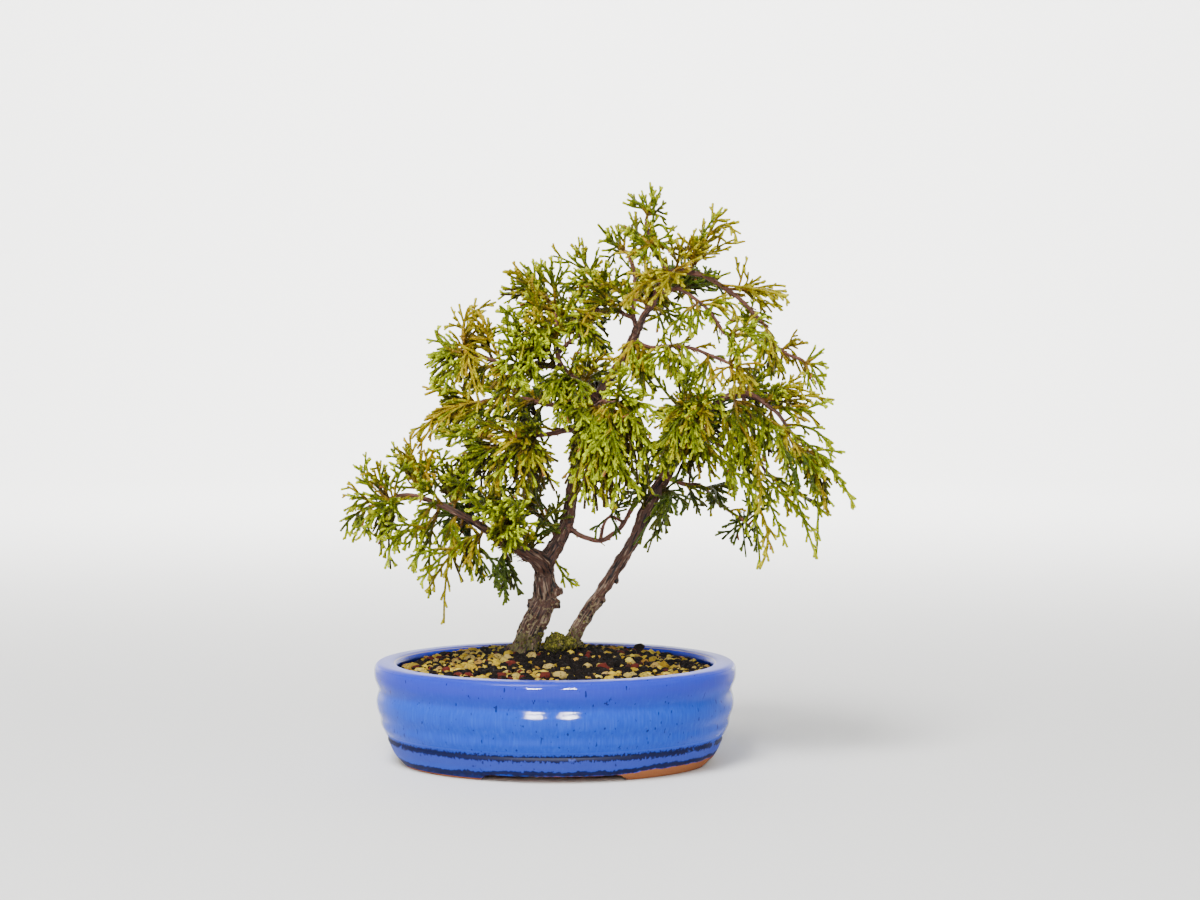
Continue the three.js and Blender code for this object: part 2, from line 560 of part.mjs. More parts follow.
// The bud that a spray grows from: the nearest clear place to the bark, towards its tips
function findBud(name, root, tips) {
  const middle = tips.reduce((sum, tip) => sum.add(tip), new THREE.Vector3()).divideScalar(tips.length);
  const towards = middle.sub(root).normalize();
  for (let step = 0.5; step < 20; step += 0.25) {
    const place = root.clone().addScaledVector(towards, step);
    const line = { a: place, b: place, radius: BUD_RADIUS };
    if (air([line], () => false) >= AIR) return place;
  }
  throw new Error(name + ' finds no clear place on its bough');
}

// Places along a leafy stem, which arches out and then droops to its tip
function stemRoute(bud, tip, bend) {
  const reach = bud.distanceTo(tip);
  const outward = new THREE.Vector3(tip.x - 40, tip.y, 0).normalize();
  const crown = bud.clone().lerp(tip, 0.45)
    .addScaledVector(outward, 0.1 * reach)
    .add(new THREE.Vector3(0, 0, 0.16 * reach))
    .add(bend);
  const curve = new THREE.QuadraticBezierCurve3(bud, crown, tip);
  return curve.getPoints(reach > 34 ? 4 : 3);
}

function routeLines(route, radius) {
  return route.slice(1).map((point, i) => ({ a: route[i], b: point, radius }));
}

// Ways to bend a stem clear of what it would cross, the smallest first
function bends(bud, tip) {
  const along = tip.clone().sub(bud).normalize();
  const across = new THREE.Vector3(-along.y, along.x, 0).normalize();
  const over = along.clone().cross(across);
  const found = [new THREE.Vector3()];
  for (const size of [5, 9, 14, 19]) {
    for (const direction of [across, over]) {
      found.push(direction.clone().multiplyScalar(size), direction.clone().multiplyScalar(-size));
    }
  }
  return found;
}

// Lays one stem of a spray, clear of other pieces and of the spray's own stems, which
// leave the bud at an angle to each other
function layStem(spray, tip) {
  const { name, bud, routes } = spray;
  const start = (route) => route[1].clone().sub(bud).setLength(BUD_REACH);
  for (const bend of bends(bud, tip)) {
    const route = stemRoute(bud, tip.clone().addScaledVector(bend, 0.3), bend);
    const lines = routeLines(route, STEM_ROOT_RADIUS);
    const clear = air(lines, (other) => other.owner === name) >= AIR
      && air(lines.slice(1), (other) => other.owner !== name) >= AIR
      && routes.every((other) => start(other).distanceTo(start(route)) > BUD_SPREAD);
    if (clear) {
      claim(name, lines);
      routes.push(route);
      return;
    }
  }
}

// A closed mesh that grows: each new ring or point stands on one of its triangles
class Growth {
  constructor(centre, radius) {
    const { x, y, z } = centre;
    const corner = (dx, dy, dz) => new THREE.Vector3(x + dx * radius, y + dy * radius, z + dz * radius);
    this.points = [
      corner(1, 0, 0), corner(-1, 0, 0), corner(0, 1, 0), corner(0, -1, 0), corner(0, 0, 1), corner(0, 0, -1),
    ];
    this.faces = [
      [0, 2, 4], [2, 1, 4], [1, 3, 4], [3, 0, 4], [2, 0, 5], [1, 2, 5], [3, 1, 5], [0, 3, 5],
    ];
  }

  corners(face) {
    return this.faces[face].map((index) => this.points[index].clone());
  }

  middle(face) {
    const [a, b, c] = this.corners(face);
    return a.add(b).add(c).divideScalar(3);
  }

  normal(face) {
    const [a, b, c] = this.corners(face);
    return b.sub(a).cross(c.sub(a)).normalize();
  }

  // From the middle of a ring that would continue this triangle to its first corner
  firstSpoke(face, ahead, radius) {
    const old = this.middle(face);
    const start = new THREE.Vector3();
    this.corners(face).forEach((corner, i) => {
      const offset = corner.sub(old);
      offset.addScaledVector(ahead, -offset.dot(ahead));
      start.add(offset.applyAxisAngle(ahead, -i * THIRD));
    });
    return start.setLength(radius);
  }

  // Draws a triangle out to a ring round a new middle; returns its six side faces
  advance(face, middle, ahead, radius) {
    const spoke = this.firstSpoke(face, ahead, radius);
    const first = this.points.length;
    for (let i = 0; i < 3; i += 1) {
      this.points.push(spoke.clone().applyAxisAngle(ahead, i * THIRD).add(middle));
    }
    const [a, b, c] = this.faces[face];
    const [d, e, f] = [first, first + 1, first + 2];
    this.faces[face] = [d, e, f];
    this.faces.push([a, b, e], [a, e, d], [b, c, f], [b, f, e], [c, a, d], [c, d, f]);
    const top = this.faces.length;
    return [top - 6, top - 5, top - 4, top - 3, top - 2, top - 1];
  }

  // Draws a triangle out to a point; returns the three faces round it
  point(face, tip) {
    const [a, b, c] = this.faces[face];
    const index = this.points.push(tip) - 1;
    this.faces[face] = [a, b, index];
    this.faces.push([b, c, index], [c, a, index]);
    return [face, this.faces.length - 2, this.faces.length - 1];
  }

  // Ends a thread in a fork, with one point on each face of a low peak
  fork(face, ahead, radius, tips) {
    const peak = this.middle(face).addScaledVector(ahead, 0.7 * radius);
    this.point(face, peak).forEach((side, i) => this.point(side, tips[i]));
  }
}

// The three points of a fork, each leaning to its own side of the ring: one goes
// nearly straight on, and the other two spread
function forkTips(end, ahead, spoke, length, dice) {
  const straight = Math.floor(3 * dice.roll());
  return [0, 1, 2].map((i) => {
    const outward = spoke.clone().applyAxisAngle(ahead, (i + 0.5) * THIRD).normalize();
    const forward = i === straight ? dice.between(0.95, 1.1) : dice.between(0.5, 0.8);
    const spread = i === straight ? 0.12 : dice.between(0.35, 0.6);
    return end.clone()
      .addScaledVector(ahead, forward * length)
      .addScaledVector(outward, spread * length);
  });
}

// Which way a side shoot goes, off the faces of the stem that it could grow from. The
// next faces and leans are tried where it would cross something.
function findShoot(name, growth, root, along, faces, turn, dice) {
  const reach = SHOOT_LENGTH * dice.between(0.8, 1.2);
  const lean = SHOOT_ANGLE + dice.between(-0.15, 0.15);
  const forkSeed = Math.floor(1e6 * dice.roll());
  for (const more of [0, 0.35, -0.3]) {
    for (const step of [0, 1, 2]) {
      const face = faces[(turn + step) % 3];
      const outward = growth.normal(face);
      const ahead = along.clone().multiplyScalar(Math.cos(lean + more));
      ahead.addScaledVector(outward, Math.sin(lean + more));
      ahead.z -= 0.12;
      ahead.normalize();
      const spoke = growth.firstSpoke(face, ahead, SHOOT_RADIUS);
      const end = root.clone().addScaledVector(ahead, 0.4 * reach);
      const tips = forkTips(end, ahead, spoke, 0.6 * reach, new Dice(forkSeed));
      const away = root.clone().addScaledVector(ahead, 3.2);
      const lines = [
        { a: away, b: end, radius: SHOOT_RADIUS },
        ...tips.map((tip) => ({ a: end, b: tip, radius: 0.6 * SHOOT_RADIUS })),
      ];
      const clear = air(lines, (other) => other.owner === name) >= AIR
        && air(lines, (other) => other.owner !== name) >= 0.1;
      if (clear) return { face, ahead, end, tips, lines };
    }
  }
  return null;
}

// Grows one stem out of a face of the bud, with its side shoots and its forked end
function growStem(spray, growth, face, route, seed) {
  const curve = new THREE.CatmullRomCurve3(route, false, 'centripetal');
  const length = curve.getLength();
  const count = Math.max(1, Math.round((length - 6) / SHOOT_SPACING));
  const forkShare = 1 - Math.min(FORK_LENGTH, 0.4 * length) / length;
  const turn = Math.floor(3 * new Dice(seed).roll());
  const advance = (share) => {
    const radius = THREE.MathUtils.lerp(STEM_ROOT_RADIUS, STEM_TIP_RADIUS, share);
    return growth.advance(face, curve.getPointAt(share), curve.getTangentAt(share), radius);
  };
  for (let i = 0; i < count; i += 1) {
    const share = (4 + (forkShare * length - 7) * (i + 0.6) / count) / length;
    advance(share - SHOOT_ROOT / length);
    const faces = advance(share + SHOOT_ROOT / length).filter((_, side) => side % 2 === 0);
    const [root, along] = [curve.getPointAt(share), curve.getTangentAt(share)];
    const dice = new Dice(seed + i + 1);
    const found = findShoot(spray.name, growth, root, along, faces, turn + i, dice);
    if (!found) continue;
    claim(spray.name, found.lines);
    growth.advance(found.face, found.end, found.ahead, SHOOT_RADIUS);
    growth.fork(found.face, found.ahead, SHOOT_RADIUS, found.tips);
  }
  advance(forkShare);
  const [end, ahead] = [curve.getPointAt(forkShare), curve.getTangentAt(forkShare)];
  const spoke = growth.corners(face)[0].sub(end);
  const tips = forkTips(end, ahead, spoke, length * (1 - forkShare), new Dice(seed + 50));
  growth.fork(face, ahead, STEM_TIP_RADIUS, tips);
}

// Gives each stem its own face of the bud, so that all of them look their way best
function shareFaces(growth, { bud, routes }) {
  const normals = growth.faces.map((_, face) => growth.normal(face));
  const share = (stem, used) => {
    if (stem === routes.length) return { fit: 0, starts: [] };
    const towards = routes[stem][1].clone().sub(bud).normalize();
    let best = { fit: -Infinity };
    normals.forEach((normal, face) => {
      if (used.includes(face)) return;
      const rest = share(stem + 1, [...used, face]);
      const fit = normal.dot(towards) + rest.fit;
      if (fit > best.fit) best = { fit, starts: [face, ...rest.starts] };
    });
    return best;
  };
  return share(0, []).starts;
}

// Every bud and stem is laid first, and the shoots then fill the room between them
function sprays() {
  claimWood();
  const laid = SPRAYS.map(([name, colour, root, ...tips]) => {
    const ends = tips.map(vec);
    const bud = findBud(name, vec(root), ends);
    claim(name, [{ a: bud, b: bud, radius: BUD_RADIUS }]);
    return { name, colour, bud, ends, routes: [] };
  });
  for (const spray of laid) {
    for (const tip of spray.ends) layStem(spray, tip);
  }
  return laid.map((spray, number) => {
    const growth = new Growth(spray.bud, BUD_RADIUS);
    const starts = shareFaces(growth, spray);
    spray.routes.forEach((route, which) => {
      growStem(spray, growth, starts[which], route, 1000 * number + 100 * which);
    });
    return mesh('spray_' + spray.name, shape(growth.points, growth.faces.flat()), spray.colour);
  });
}

// The tree stands with the middle of its whole spread over the origin
const bonsai = new THREE.Group();
bonsai.name = 'filifera_cypress_bonsai';
bonsai.add(
  pot(),
  drainMesh('drain_mesh_left', -DRAIN_OFFSET),
  drainMesh('drain_mesh_right', DRAIN_OFFSET),
  soil(),
  wood(),
  ...sprays(),
);
const spread = new THREE.Box3().setFromObject(bonsai, true);
const middle = spread.getCenter(new THREE.Vector3());
bonsai.position.set(-middle.x, -middle.y, 0);

export default bonsai;
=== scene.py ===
"""Filifera sawara cypress, a small twin-trunk tree, in an oval pot with a blue glaze.

Tables of places are in millimetres from the middle of the pot, on the surface that its feet stand
on, with the viewer's side at -Y. Meshes are in metres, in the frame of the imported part.
"""

import logging
import math
import random
from collections.abc import Iterable, Iterator
from dataclasses import dataclass, field, fields
from enum import Enum

import bpy
import numpy as np
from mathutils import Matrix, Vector, kdtree, noise


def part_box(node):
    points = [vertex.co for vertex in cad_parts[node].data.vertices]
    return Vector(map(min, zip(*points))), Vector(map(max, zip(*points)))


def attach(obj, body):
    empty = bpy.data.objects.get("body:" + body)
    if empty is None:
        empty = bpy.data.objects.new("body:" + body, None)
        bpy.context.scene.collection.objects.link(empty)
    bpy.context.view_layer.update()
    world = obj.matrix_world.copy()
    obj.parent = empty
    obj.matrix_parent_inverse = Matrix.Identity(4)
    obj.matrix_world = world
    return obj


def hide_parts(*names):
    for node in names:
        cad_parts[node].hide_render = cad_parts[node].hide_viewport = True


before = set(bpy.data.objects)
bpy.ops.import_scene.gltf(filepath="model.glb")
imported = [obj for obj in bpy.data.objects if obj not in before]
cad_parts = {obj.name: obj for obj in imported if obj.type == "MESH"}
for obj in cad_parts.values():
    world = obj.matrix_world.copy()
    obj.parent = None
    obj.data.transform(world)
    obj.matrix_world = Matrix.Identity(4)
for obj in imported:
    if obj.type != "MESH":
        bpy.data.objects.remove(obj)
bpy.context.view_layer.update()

LOG = logging.getLogger("bonsai")
MM = 0.001
POT_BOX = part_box("pot")
POT_MIDDLE = np.array([(POT_BOX[0].x + POT_BOX[1].x) / 2, (POT_BOX[0].y + POT_BOX[1].y) / 2, 0.0])

Station = tuple[float, float, float, float]
Place = tuple[float, float, float]
Colour = tuple[float, float, float]
Array = np.ndarray
Dice = random.Random
Piece = bpy.types.Object
Node = bpy.types.Node
Socket = bpy.types.NodeSocket
Material = bpy.types.Material

# Trunks and branches: x, y, z and radius of each station, from what the branch grows from
MAIN_TRUNK: list[Station] = [
    (-15, 16.5, 44, 7.4), (-17, 16, 57, 8.3), (-13.5, 15, 71, 6.9), (-8.5, 14, 82, 6.9),
    (-5.5, 14, 89.5, 6.5), (-6, 12.5, 96, 6.1), (-6.5, 11.5, 104, 5.5), (-3.5, 10.5, 112, 4.9),
    (2, 9, 121.5, 4.3), (7, 8, 133, 3.8), (8.5, 7, 144, 3.5), (10.5, 6, 157, 3.2), (12.5, 6, 171, 3),
    (14.5, 5, 182, 3), (18, 4, 192, 3.1), (23.5, 4, 202, 2.9), (29, 3, 210.5, 2.7), (34, 2, 217.5, 2.6),
    (39, 2, 226.5, 2.6), (43.5, 1, 234, 2.8), (45, 0, 240, 2.4),
]
SECOND_TRUNK: list[Station] = [
    (3, 18, 44, 5.2), (6, 20, 57, 4.8), (11, 19.5, 68.5, 3.9), (16, 19, 77, 3.8), (22, 18, 86, 3.7),
    (32.5, 16, 103, 3.5), (44.5, 14, 123, 3.6), (48.5, 13, 133.5, 3.8), (53.5, 12, 144, 3.9),
    (58.5, 12, 152.5, 3.8), (63.5, 11, 161.5, 3.4), (68.5, 10, 170.5, 3), (74, 9, 179, 2.7),
    (80, 8, 187.5, 2.4), (86.5, 6, 195.5, 2.1), (93, 4, 201, 1.9), (100.5, 1, 203.5, 1.7),
    (108, -3, 203, 1.5), (115, -6, 198.5, 1.3), (122, -9, 193, 1.2), (129.5, -11, 182.5, 1.1),
    (137, -12, 175.5, 1),
]
BOUGHS: dict[str, list[Station]] = {
    "low_left": [
        (-6.5, 11.5, 104, 5), (-8, 6, 109.5, 4.9), (-13, 3, 114, 4.5), (-20, 0, 118.5, 4),
        (-32, -5, 125.5, 2.9), (-39, -8, 130.5, 2.4), (-49, -11, 136.5, 2.1), (-64.5, -14, 144.5, 1.7),
        (-81, -15, 149, 1.3), (-95, -15, 145, 1),
    ],
    "fork": [
        (45, 0, 238, 2.2), (49.5, -1, 247.5, 1.9), (53.5, -2, 252, 1.8), (56.5, -3, 260.5, 1.8),
        (60.5, -4, 267.5, 1.8), (66.5, -4, 271, 1.8), (73, -5, 270, 1.7),
    ],
    "cross": [
        (7, 8, 130, 1.8), (11, 9, 126, 1.6), (17, 10, 123, 1.5), (25, 12, 121, 1.5), (31, 14, 124, 1.4),
        (37, 16, 129, 1.4), (44, 15, 141, 1.4), (50, 13, 147, 1.4),
    ],
}
BRANCHES: dict[str, list[Station]] = {
    "leader": [
        (62, -4, 269, 1.5), (60, -2, 274, 1.4), (56, 0, 280, 1.3), (53, 0, 285, 1.2), (51, 1, 292, 1.1),
        (50, 1, 298, 1),
    ],
    "top_fork": [
        (45, 0, 239, 1.5), (43, 3, 247, 1.3), (44, 6, 255, 1.2), (44, 9, 268, 1.1), (42, 11, 275, 1),
        (40, 12, 281, 0.9),
    ],
    "arch_right": [
        (71, -5, 270, 1.5), (79, -4, 269, 1.4), (86, -2, 266, 1.3), (94, 1, 261, 1.3), (102, 4, 255, 1.2),
        (110, 6, 247, 1.1), (116, 8, 240, 1.1), (120, 9, 231, 1), (128, 9, 225, 0.9), (136, 8, 222, 0.9),
    ],
    "arch_front": [
        (56.5, -3, 259, 1.4), (62, -8, 260, 1.2), (68, -11, 261, 1.1), (76, -16, 256, 1), (84, -20, 249, 1),
        (92, -24, 237, 0.9),
    ],
    "arch_centre": [
        (43.5, 1, 233, 1.6), (49, -4, 230, 1.3), (54, -9, 229, 1.2), (60, -14, 230, 1.1), (67, -18, 230, 1),
        (75, -22, 229, 1), (83, -25, 226, 0.9), (95, -28, 221, 0.9),
    ],
    "high_twig": [(44, 7, 259, 1.1), (52, 5, 262, 1), (59, 7, 262, 0.9), (67, 9, 260, 0.9)],
    "inner_left": [
        (2, 9, 121, 1.7), (-4, 14, 131, 1.4), (-12, 20, 136, 1.2), (-19, 25, 140, 1), (-27, 30, 141, 0.9),
    ],
    "middle_left": [
        (14.5, 5, 183, 2), (7, 2, 183.5, 1.7), (0, -2, 182, 1.5), (-9, -7, 181, 1.2), (-19, -12, 180, 1),
        (-28, -17, 176, 0.9),
    ],
    "crown_left": [
        (18, 4, 192, 2), (13, 6, 194, 1.8), (4, 9, 196, 1.6), (-6, 12, 197.5, 1.4), (-18, 15, 200, 1.2),
        (-30, 17.5, 200.5, 1), (-42, 19, 198, 0.9),
    ],
    "upper_left": [
        (23, 4, 201, 2), (16, -2, 208, 1.8), (8, -6, 214, 1.7), (3, -9, 221, 1.5), (1, -9, 231, 1.3),
        (1, -6, 242, 1.1), (0, -1, 252, 1),
    ],
    "upper_left_low": [
        (5, -8, 218, 1.4), (-5, -14, 219, 1.3), (-14, -18, 217.5, 1.2), (-23, -20, 218, 1.1),
        (-33, -22, 222.5, 1), (-45, -24, 226, 0.8),
    ],
    "upper_inner": [(2, -9, 226, 1.3), (7, -2, 231, 1.1), (14, 5, 236, 1), (20, 12, 241, 0.9)],
    "high_left": [
        (43.5, 2, 245, 1.4), (36, 10, 248, 1.2), (29, 17, 253, 1.1), (24, 22, 260, 1), (21, 26, 266, 0.9),
    ],
    "high_left_low": [(32, 14, 250, 1.1), (23, 13, 249, 1), (14, 10, 246, 0.9), (8, 6, 243, 0.8)],
    "front": [
        (18, 4, 190, 2), (22, -8, 196, 1.6), (26, -22, 200, 1.3), (30, -34, 201, 1.1), (33, -42, 201, 1),
    ],
    "front_right": [(74, 9, 179, 2), (75, -3, 186, 1.5), (73, -18, 192, 1.2), (70, -34, 195, 1)],
    "back": [(18, 4, 192, 2), (15, 15, 198, 1.5), (15, 27, 204, 1.2), (17, 40, 208, 1)],
    "back_high": [(44, 1, 236, 1.6), (48, 12, 243, 1.3), (51, 24, 248, 1.1), (51, 36, 250, 0.9)],
    "back_right": [(76, 9, 182, 1.8), (78, 20, 186, 1.4), (81, 34, 188, 1.1), (84, 46, 187, 0.9)],
    "back_low": [
        (61, 11, 157, 1.6), (72, 20, 152, 1.3), (82, 29, 150, 1.1), (93, 36, 139, 1), (107, 42, 129, 0.9),
    ],
    "loop": [
        (25, 12, 121, 1.3), (26, 8.5, 127, 1), (27.5, 7.5, 132, 0.9), (31, 9, 135, 0.9), (38, 16, 131, 1),
    ],
    "bare": [
        (103, 0, 203, 1.3), (108, 2, 190, 1.1), (111, 0, 175, 1), (115, -3, 162, 0.9), (125, -6, 154, 0.9),
        (133, -9, 149, 0.8), (145, -12, 144, 0.7),
    ],
}
ROUTES = [MAIN_TRUNK, SECOND_TRUNK, *BOUGHS.values(), *BRANCHES.values()]
# Branches that carry no leafy side twigs
BARE_BRANCHES = ("loop", "bare", "front", "front_right")
# Burls, the mossy knob between the trunks and lumps of bark: place, radius, flattening
BURLS = [
    (0, 13, 62.5, 6.4, 1.0), (8, 13, 63, 3.8, 0.9), (-24, 15, 60, 3.6, 0.7), (1, 10, 93, 2.8, 1.2),
    (-0.5, 10, 86.5, 3.0, 1.1), (-13.5, 13, 84.5, 3.0, 1.3), (12, 21, 62, 3.8, 0.7), (27, 16, 88, 1.5, 1.4),
    (34, 14, 98.5, 1.6, 1.4), (39, 14, 109.5, 1.5, 1.4), (46, 13, 121, 1.6, 1.4),
]


class Leaf(Enum):
    """Colour of a spray, whose value also names the drape piece of that colour."""

    GREEN = "foliage_green"
    LIME = "foliage_lime"
    GOLDEN = "foliage_golden"
    # Darker copy of the foliage for sprays at the back, underneath and inside the crown: painted shade
    DARK = "foliage_dark"


GREEN, LIME, GOLDEN, DARK = Leaf


class Growth(Enum):
    """How a spray grows, with the gap in which one more thinner stem stands."""

    # Long hanging threads with few side shoots, much air between the stems, or full fans
    LONG = 36
    AIRY = 28
    FULL = 14


LONG, AIRY, FULL = Growth

# Sprays of foliage: name, colour, growth, then the place on the bough and the end of each leafy stem
SPRAYS: list[tuple[str, Leaf, Growth, tuple[float, ...]]] = [
    ("low_left_end", GREEN, AIRY, (-95, -15, 145, -112, -22, 154, -117, -12, 129, -102, -30, 129)),
    ("low_left_outer", GREEN, AIRY,
     (-82, -15, 149, -97, -8, 169, -80, -32, 167, -94, -26, 124, -90, -10, 108)),
    ("low_left_rise", GREEN, FULL, (-72, -14, 147, -78, -24, 182, -90, 0, 173, -66, -40, 175)),
    ("low_left_fall", LIME, LONG, (-63, -14, 144, -76, -30, 108, -68, -12, 94)),
    ("low_left_middle", GREEN, FULL, (-55, -12, 139, -62, -26, 173, -54, 4, 164, -43, -40, 162)),
    ("low_left_long", GOLDEN, LONG, (-50, -11, 137, -60, -24, 80, -60, 4, 103)),
    ("low_left_inner", GREEN, AIRY, (-39, -8, 130.5, -46, -24, 106, -39, 2, 100, -56, -36, 118)),
    ("low_left_under", DARK, LONG, (-27, -3, 122.5, -33, -14, 98, -27, 8, 87, -19, -4, 93)),
    ("low_left_front", LIME, FULL, (-24, -2, 121, -44, -52, 151, -27, -50, 149, -19, -48, 130)),
    ("low_left_back", DARK, FULL, (-45, -10, 134, -71, 30, 131, -59, 36, 152, -49, 34, 108)),
    ("inner_left_back", DARK, FULL, (-27, 30, 141, -45, 52, 140, -36, 42, 159, -23, 50, 115)),
    ("middle_left_end", GREEN, FULL, (-42, 19, 198, -67, 14, 209, -66, 24, 192, -61, 38, 182)),
    ("middle_left_over", GREEN, FULL, (-26, 17, 200.5, -46, 34, 211, -32, 42, 214)),
    ("middle_left_back", DARK, FULL, (-8, 12.5, 198, -21, 50, 179, -32, 58, 197, -9, 54, 211)),
    ("middle_left_low", GREEN, FULL, (-28, -17, 176, -48, -22, 162, -46, -12, 150, -48, -32, 174)),
    ("middle_left_front", LIME, FULL,
     (-11, -8, 181, -29, -40, 160, -16, -30, 146, -26, -46, 190, 0, -22, 152)),
    ("upper_left_end", LIME, FULL, (-45, -24, 226, -62, -30, 241, -67, -22, 213, -64, -8, 228)),
    ("upper_left_rise", GOLDEN, AIRY,
     (-31, -21.5, 221.5, -46, -28, 251, -34, -14, 255, -40, -38, 197, -48, -14, 204)),
    ("upper_left_front", LIME, FULL, (-16, -18, 217.5, -27, -48, 240, -15, -56, 206, -7, -46, 232)),
    ("upper_middle_end", GREEN, FULL, (0, -1, 252, -24, -8, 271, -15, 8, 273, -29, 16, 258)),
    ("upper_middle_front", LIME, FULL, (1, -8, 234, -10, -38, 246, -21, -40, 231, 6, -40, 249)),
    ("upper_middle_low", GREEN, FULL, (10, -5, 213, -4, -54, 204, 14, -50, 202, 3, -40, 189)),
    ("upper_inner_back", DARK, FULL, (20, 12, 241, 2, 46, 232, 25, 56, 244, 11, 50, 256)),
    ("high_left_end", GREEN, AIRY, (21, 26, 266, -1, 20, 279, 11, 36, 285, 24, 14, 278)),
    ("high_left_low", LIME, FULL, (8, 6, 243, -9, 22, 257, -7, 24, 237, 11, -16, 255)),
    ("leader_end", GREEN, FULL, (50, 1, 298, 54, 2, 315, 42, -6, 309, 61, 12, 299)),
    ("leader_side", GREEN, FULL, (54, 0, 283, 64, -14, 290, 45, 14, 296, 46, -24, 276)),
    ("high_middle_end", GREEN, AIRY, (40, 12, 281, 30, 4, 286, 39, 24, 292, 29, 34, 276)),
    ("high_right_end", GOLDEN, AIRY, (73, -5, 270, 91, -8, 305, 99, 6, 288, 74, -22, 290)),
    ("high_right_front", GOLDEN, AIRY, (63.5, -4, 269.5, 36, -44, 253, 52, -48, 256, 73, -40, 276)),
    ("high_back", DARK, FULL, (67, 9, 260, 76, 52, 276, 93, 46, 260, 56, 54, 266)),
    ("arch_right_rise", GOLDEN, AIRY, (94, 1, 261, 104, 10, 274, 127, -4, 257, 120, 18, 248)),
    ("arch_right_back", LIME, FULL, (113, 7, 243.5, 106, 28, 232, 99, 36, 244)),
    ("arch_right_end", LIME, AIRY, (136, 8, 222, 144, 4, 225, 148, 12, 214, 139, 2, 206)),
    ("arch_right_low", GOLDEN, AIRY, (124, 9, 228, 124, 22, 211, 134, 24, 233)),
    ("arch_front_end", LIME, AIRY, (92, -24, 237, 113, -32, 235, 110, -14, 243, 100, -40, 222)),
    ("arch_front_hang", GREEN, AIRY, (78, -17, 254.5, 76, -44, 238, 65, -36, 239)),
    ("arch_centre_end", GOLDEN, AIRY, (95, -28, 221, 107, -30, 214, 85, -54, 214, 96, -46, 205)),
    ("arch_centre_hang", LIME, AIRY, (62, -15, 230, 51, -50, 219, 61, -36, 213, 73, -48, 217)),
    ("front_left", LIME, FULL, (25, -18, 199, 14, -56, 174, 26, -68, 166, 8, -66, 190)),
    ("front_drop", GREEN, FULL, (29, -32, 201, 31, -44, 144, 48, -50, 152, 39, -74, 168)),
    ("front_end", LIME, FULL, (33, -42, 201, 46, -66, 181, 52, -78, 196, 36, -74, 220)),
    ("front_right_end", GREEN, FULL, (70, -34, 195, 55, -56, 168, 74, -62, 218, 88, -72, 204, 74, -74, 176)),
    ("right_out", GOLDEN, LONG, (112, -5, 200.5, 151, -10, 200, 146, 6, 186, 133, -28, 214)),
    ("right_out_back", GREEN, FULL, (104, -1, 203.5, 127, 46, 192, 115, 42, 211, 107, 50, 180)),
    ("right_long_end", LIME, LONG, (137, -12, 175.5, 164, -8, 142, 156, -20, 172, 142, -24, 115)),
    ("right_long_inner", GREEN, LONG, (125, -10, 189, 148, -26, 140, 147, 6, 151, 129, -40, 148)),
    ("right_drop_outer", GREEN, LONG, (98, 2, 203, 109, -34, 140, 102, -54, 166, 122, -46, 165)),
    ("right_drop_inner", LIME, LONG, (90, 5, 198.5, 112, -20, 109, 97, -38, 148)),
    ("right_drop_low", LIME, LONG, (80, 8, 187.5, 95, -26, 152, 85, -44, 165)),
    ("back_right_end", DARK, FULL, (84, 46, 187, 62, 84, 190, 104, 84, 198, 88, 84, 156)),
    ("low_right_back", DARK, AIRY, (107, 42, 129, 116, 48, 114, 95, 60, 117, 113, 58, 142)),
    ("second_low_front", DARK, AIRY, (60, 12, 155, 57, -12, 131, 51, 0, 116, 70, -26, 144)),
    ("back_end", GREEN, FULL, (17, 40, 208, 0, 78, 216, 36, 84, 208, 14, 80, 176)),
    ("back_high_end", GREEN, FULL, (51, 36, 250, 30, 78, 260, 68, 76, 250, 50, 66, 282)),
]
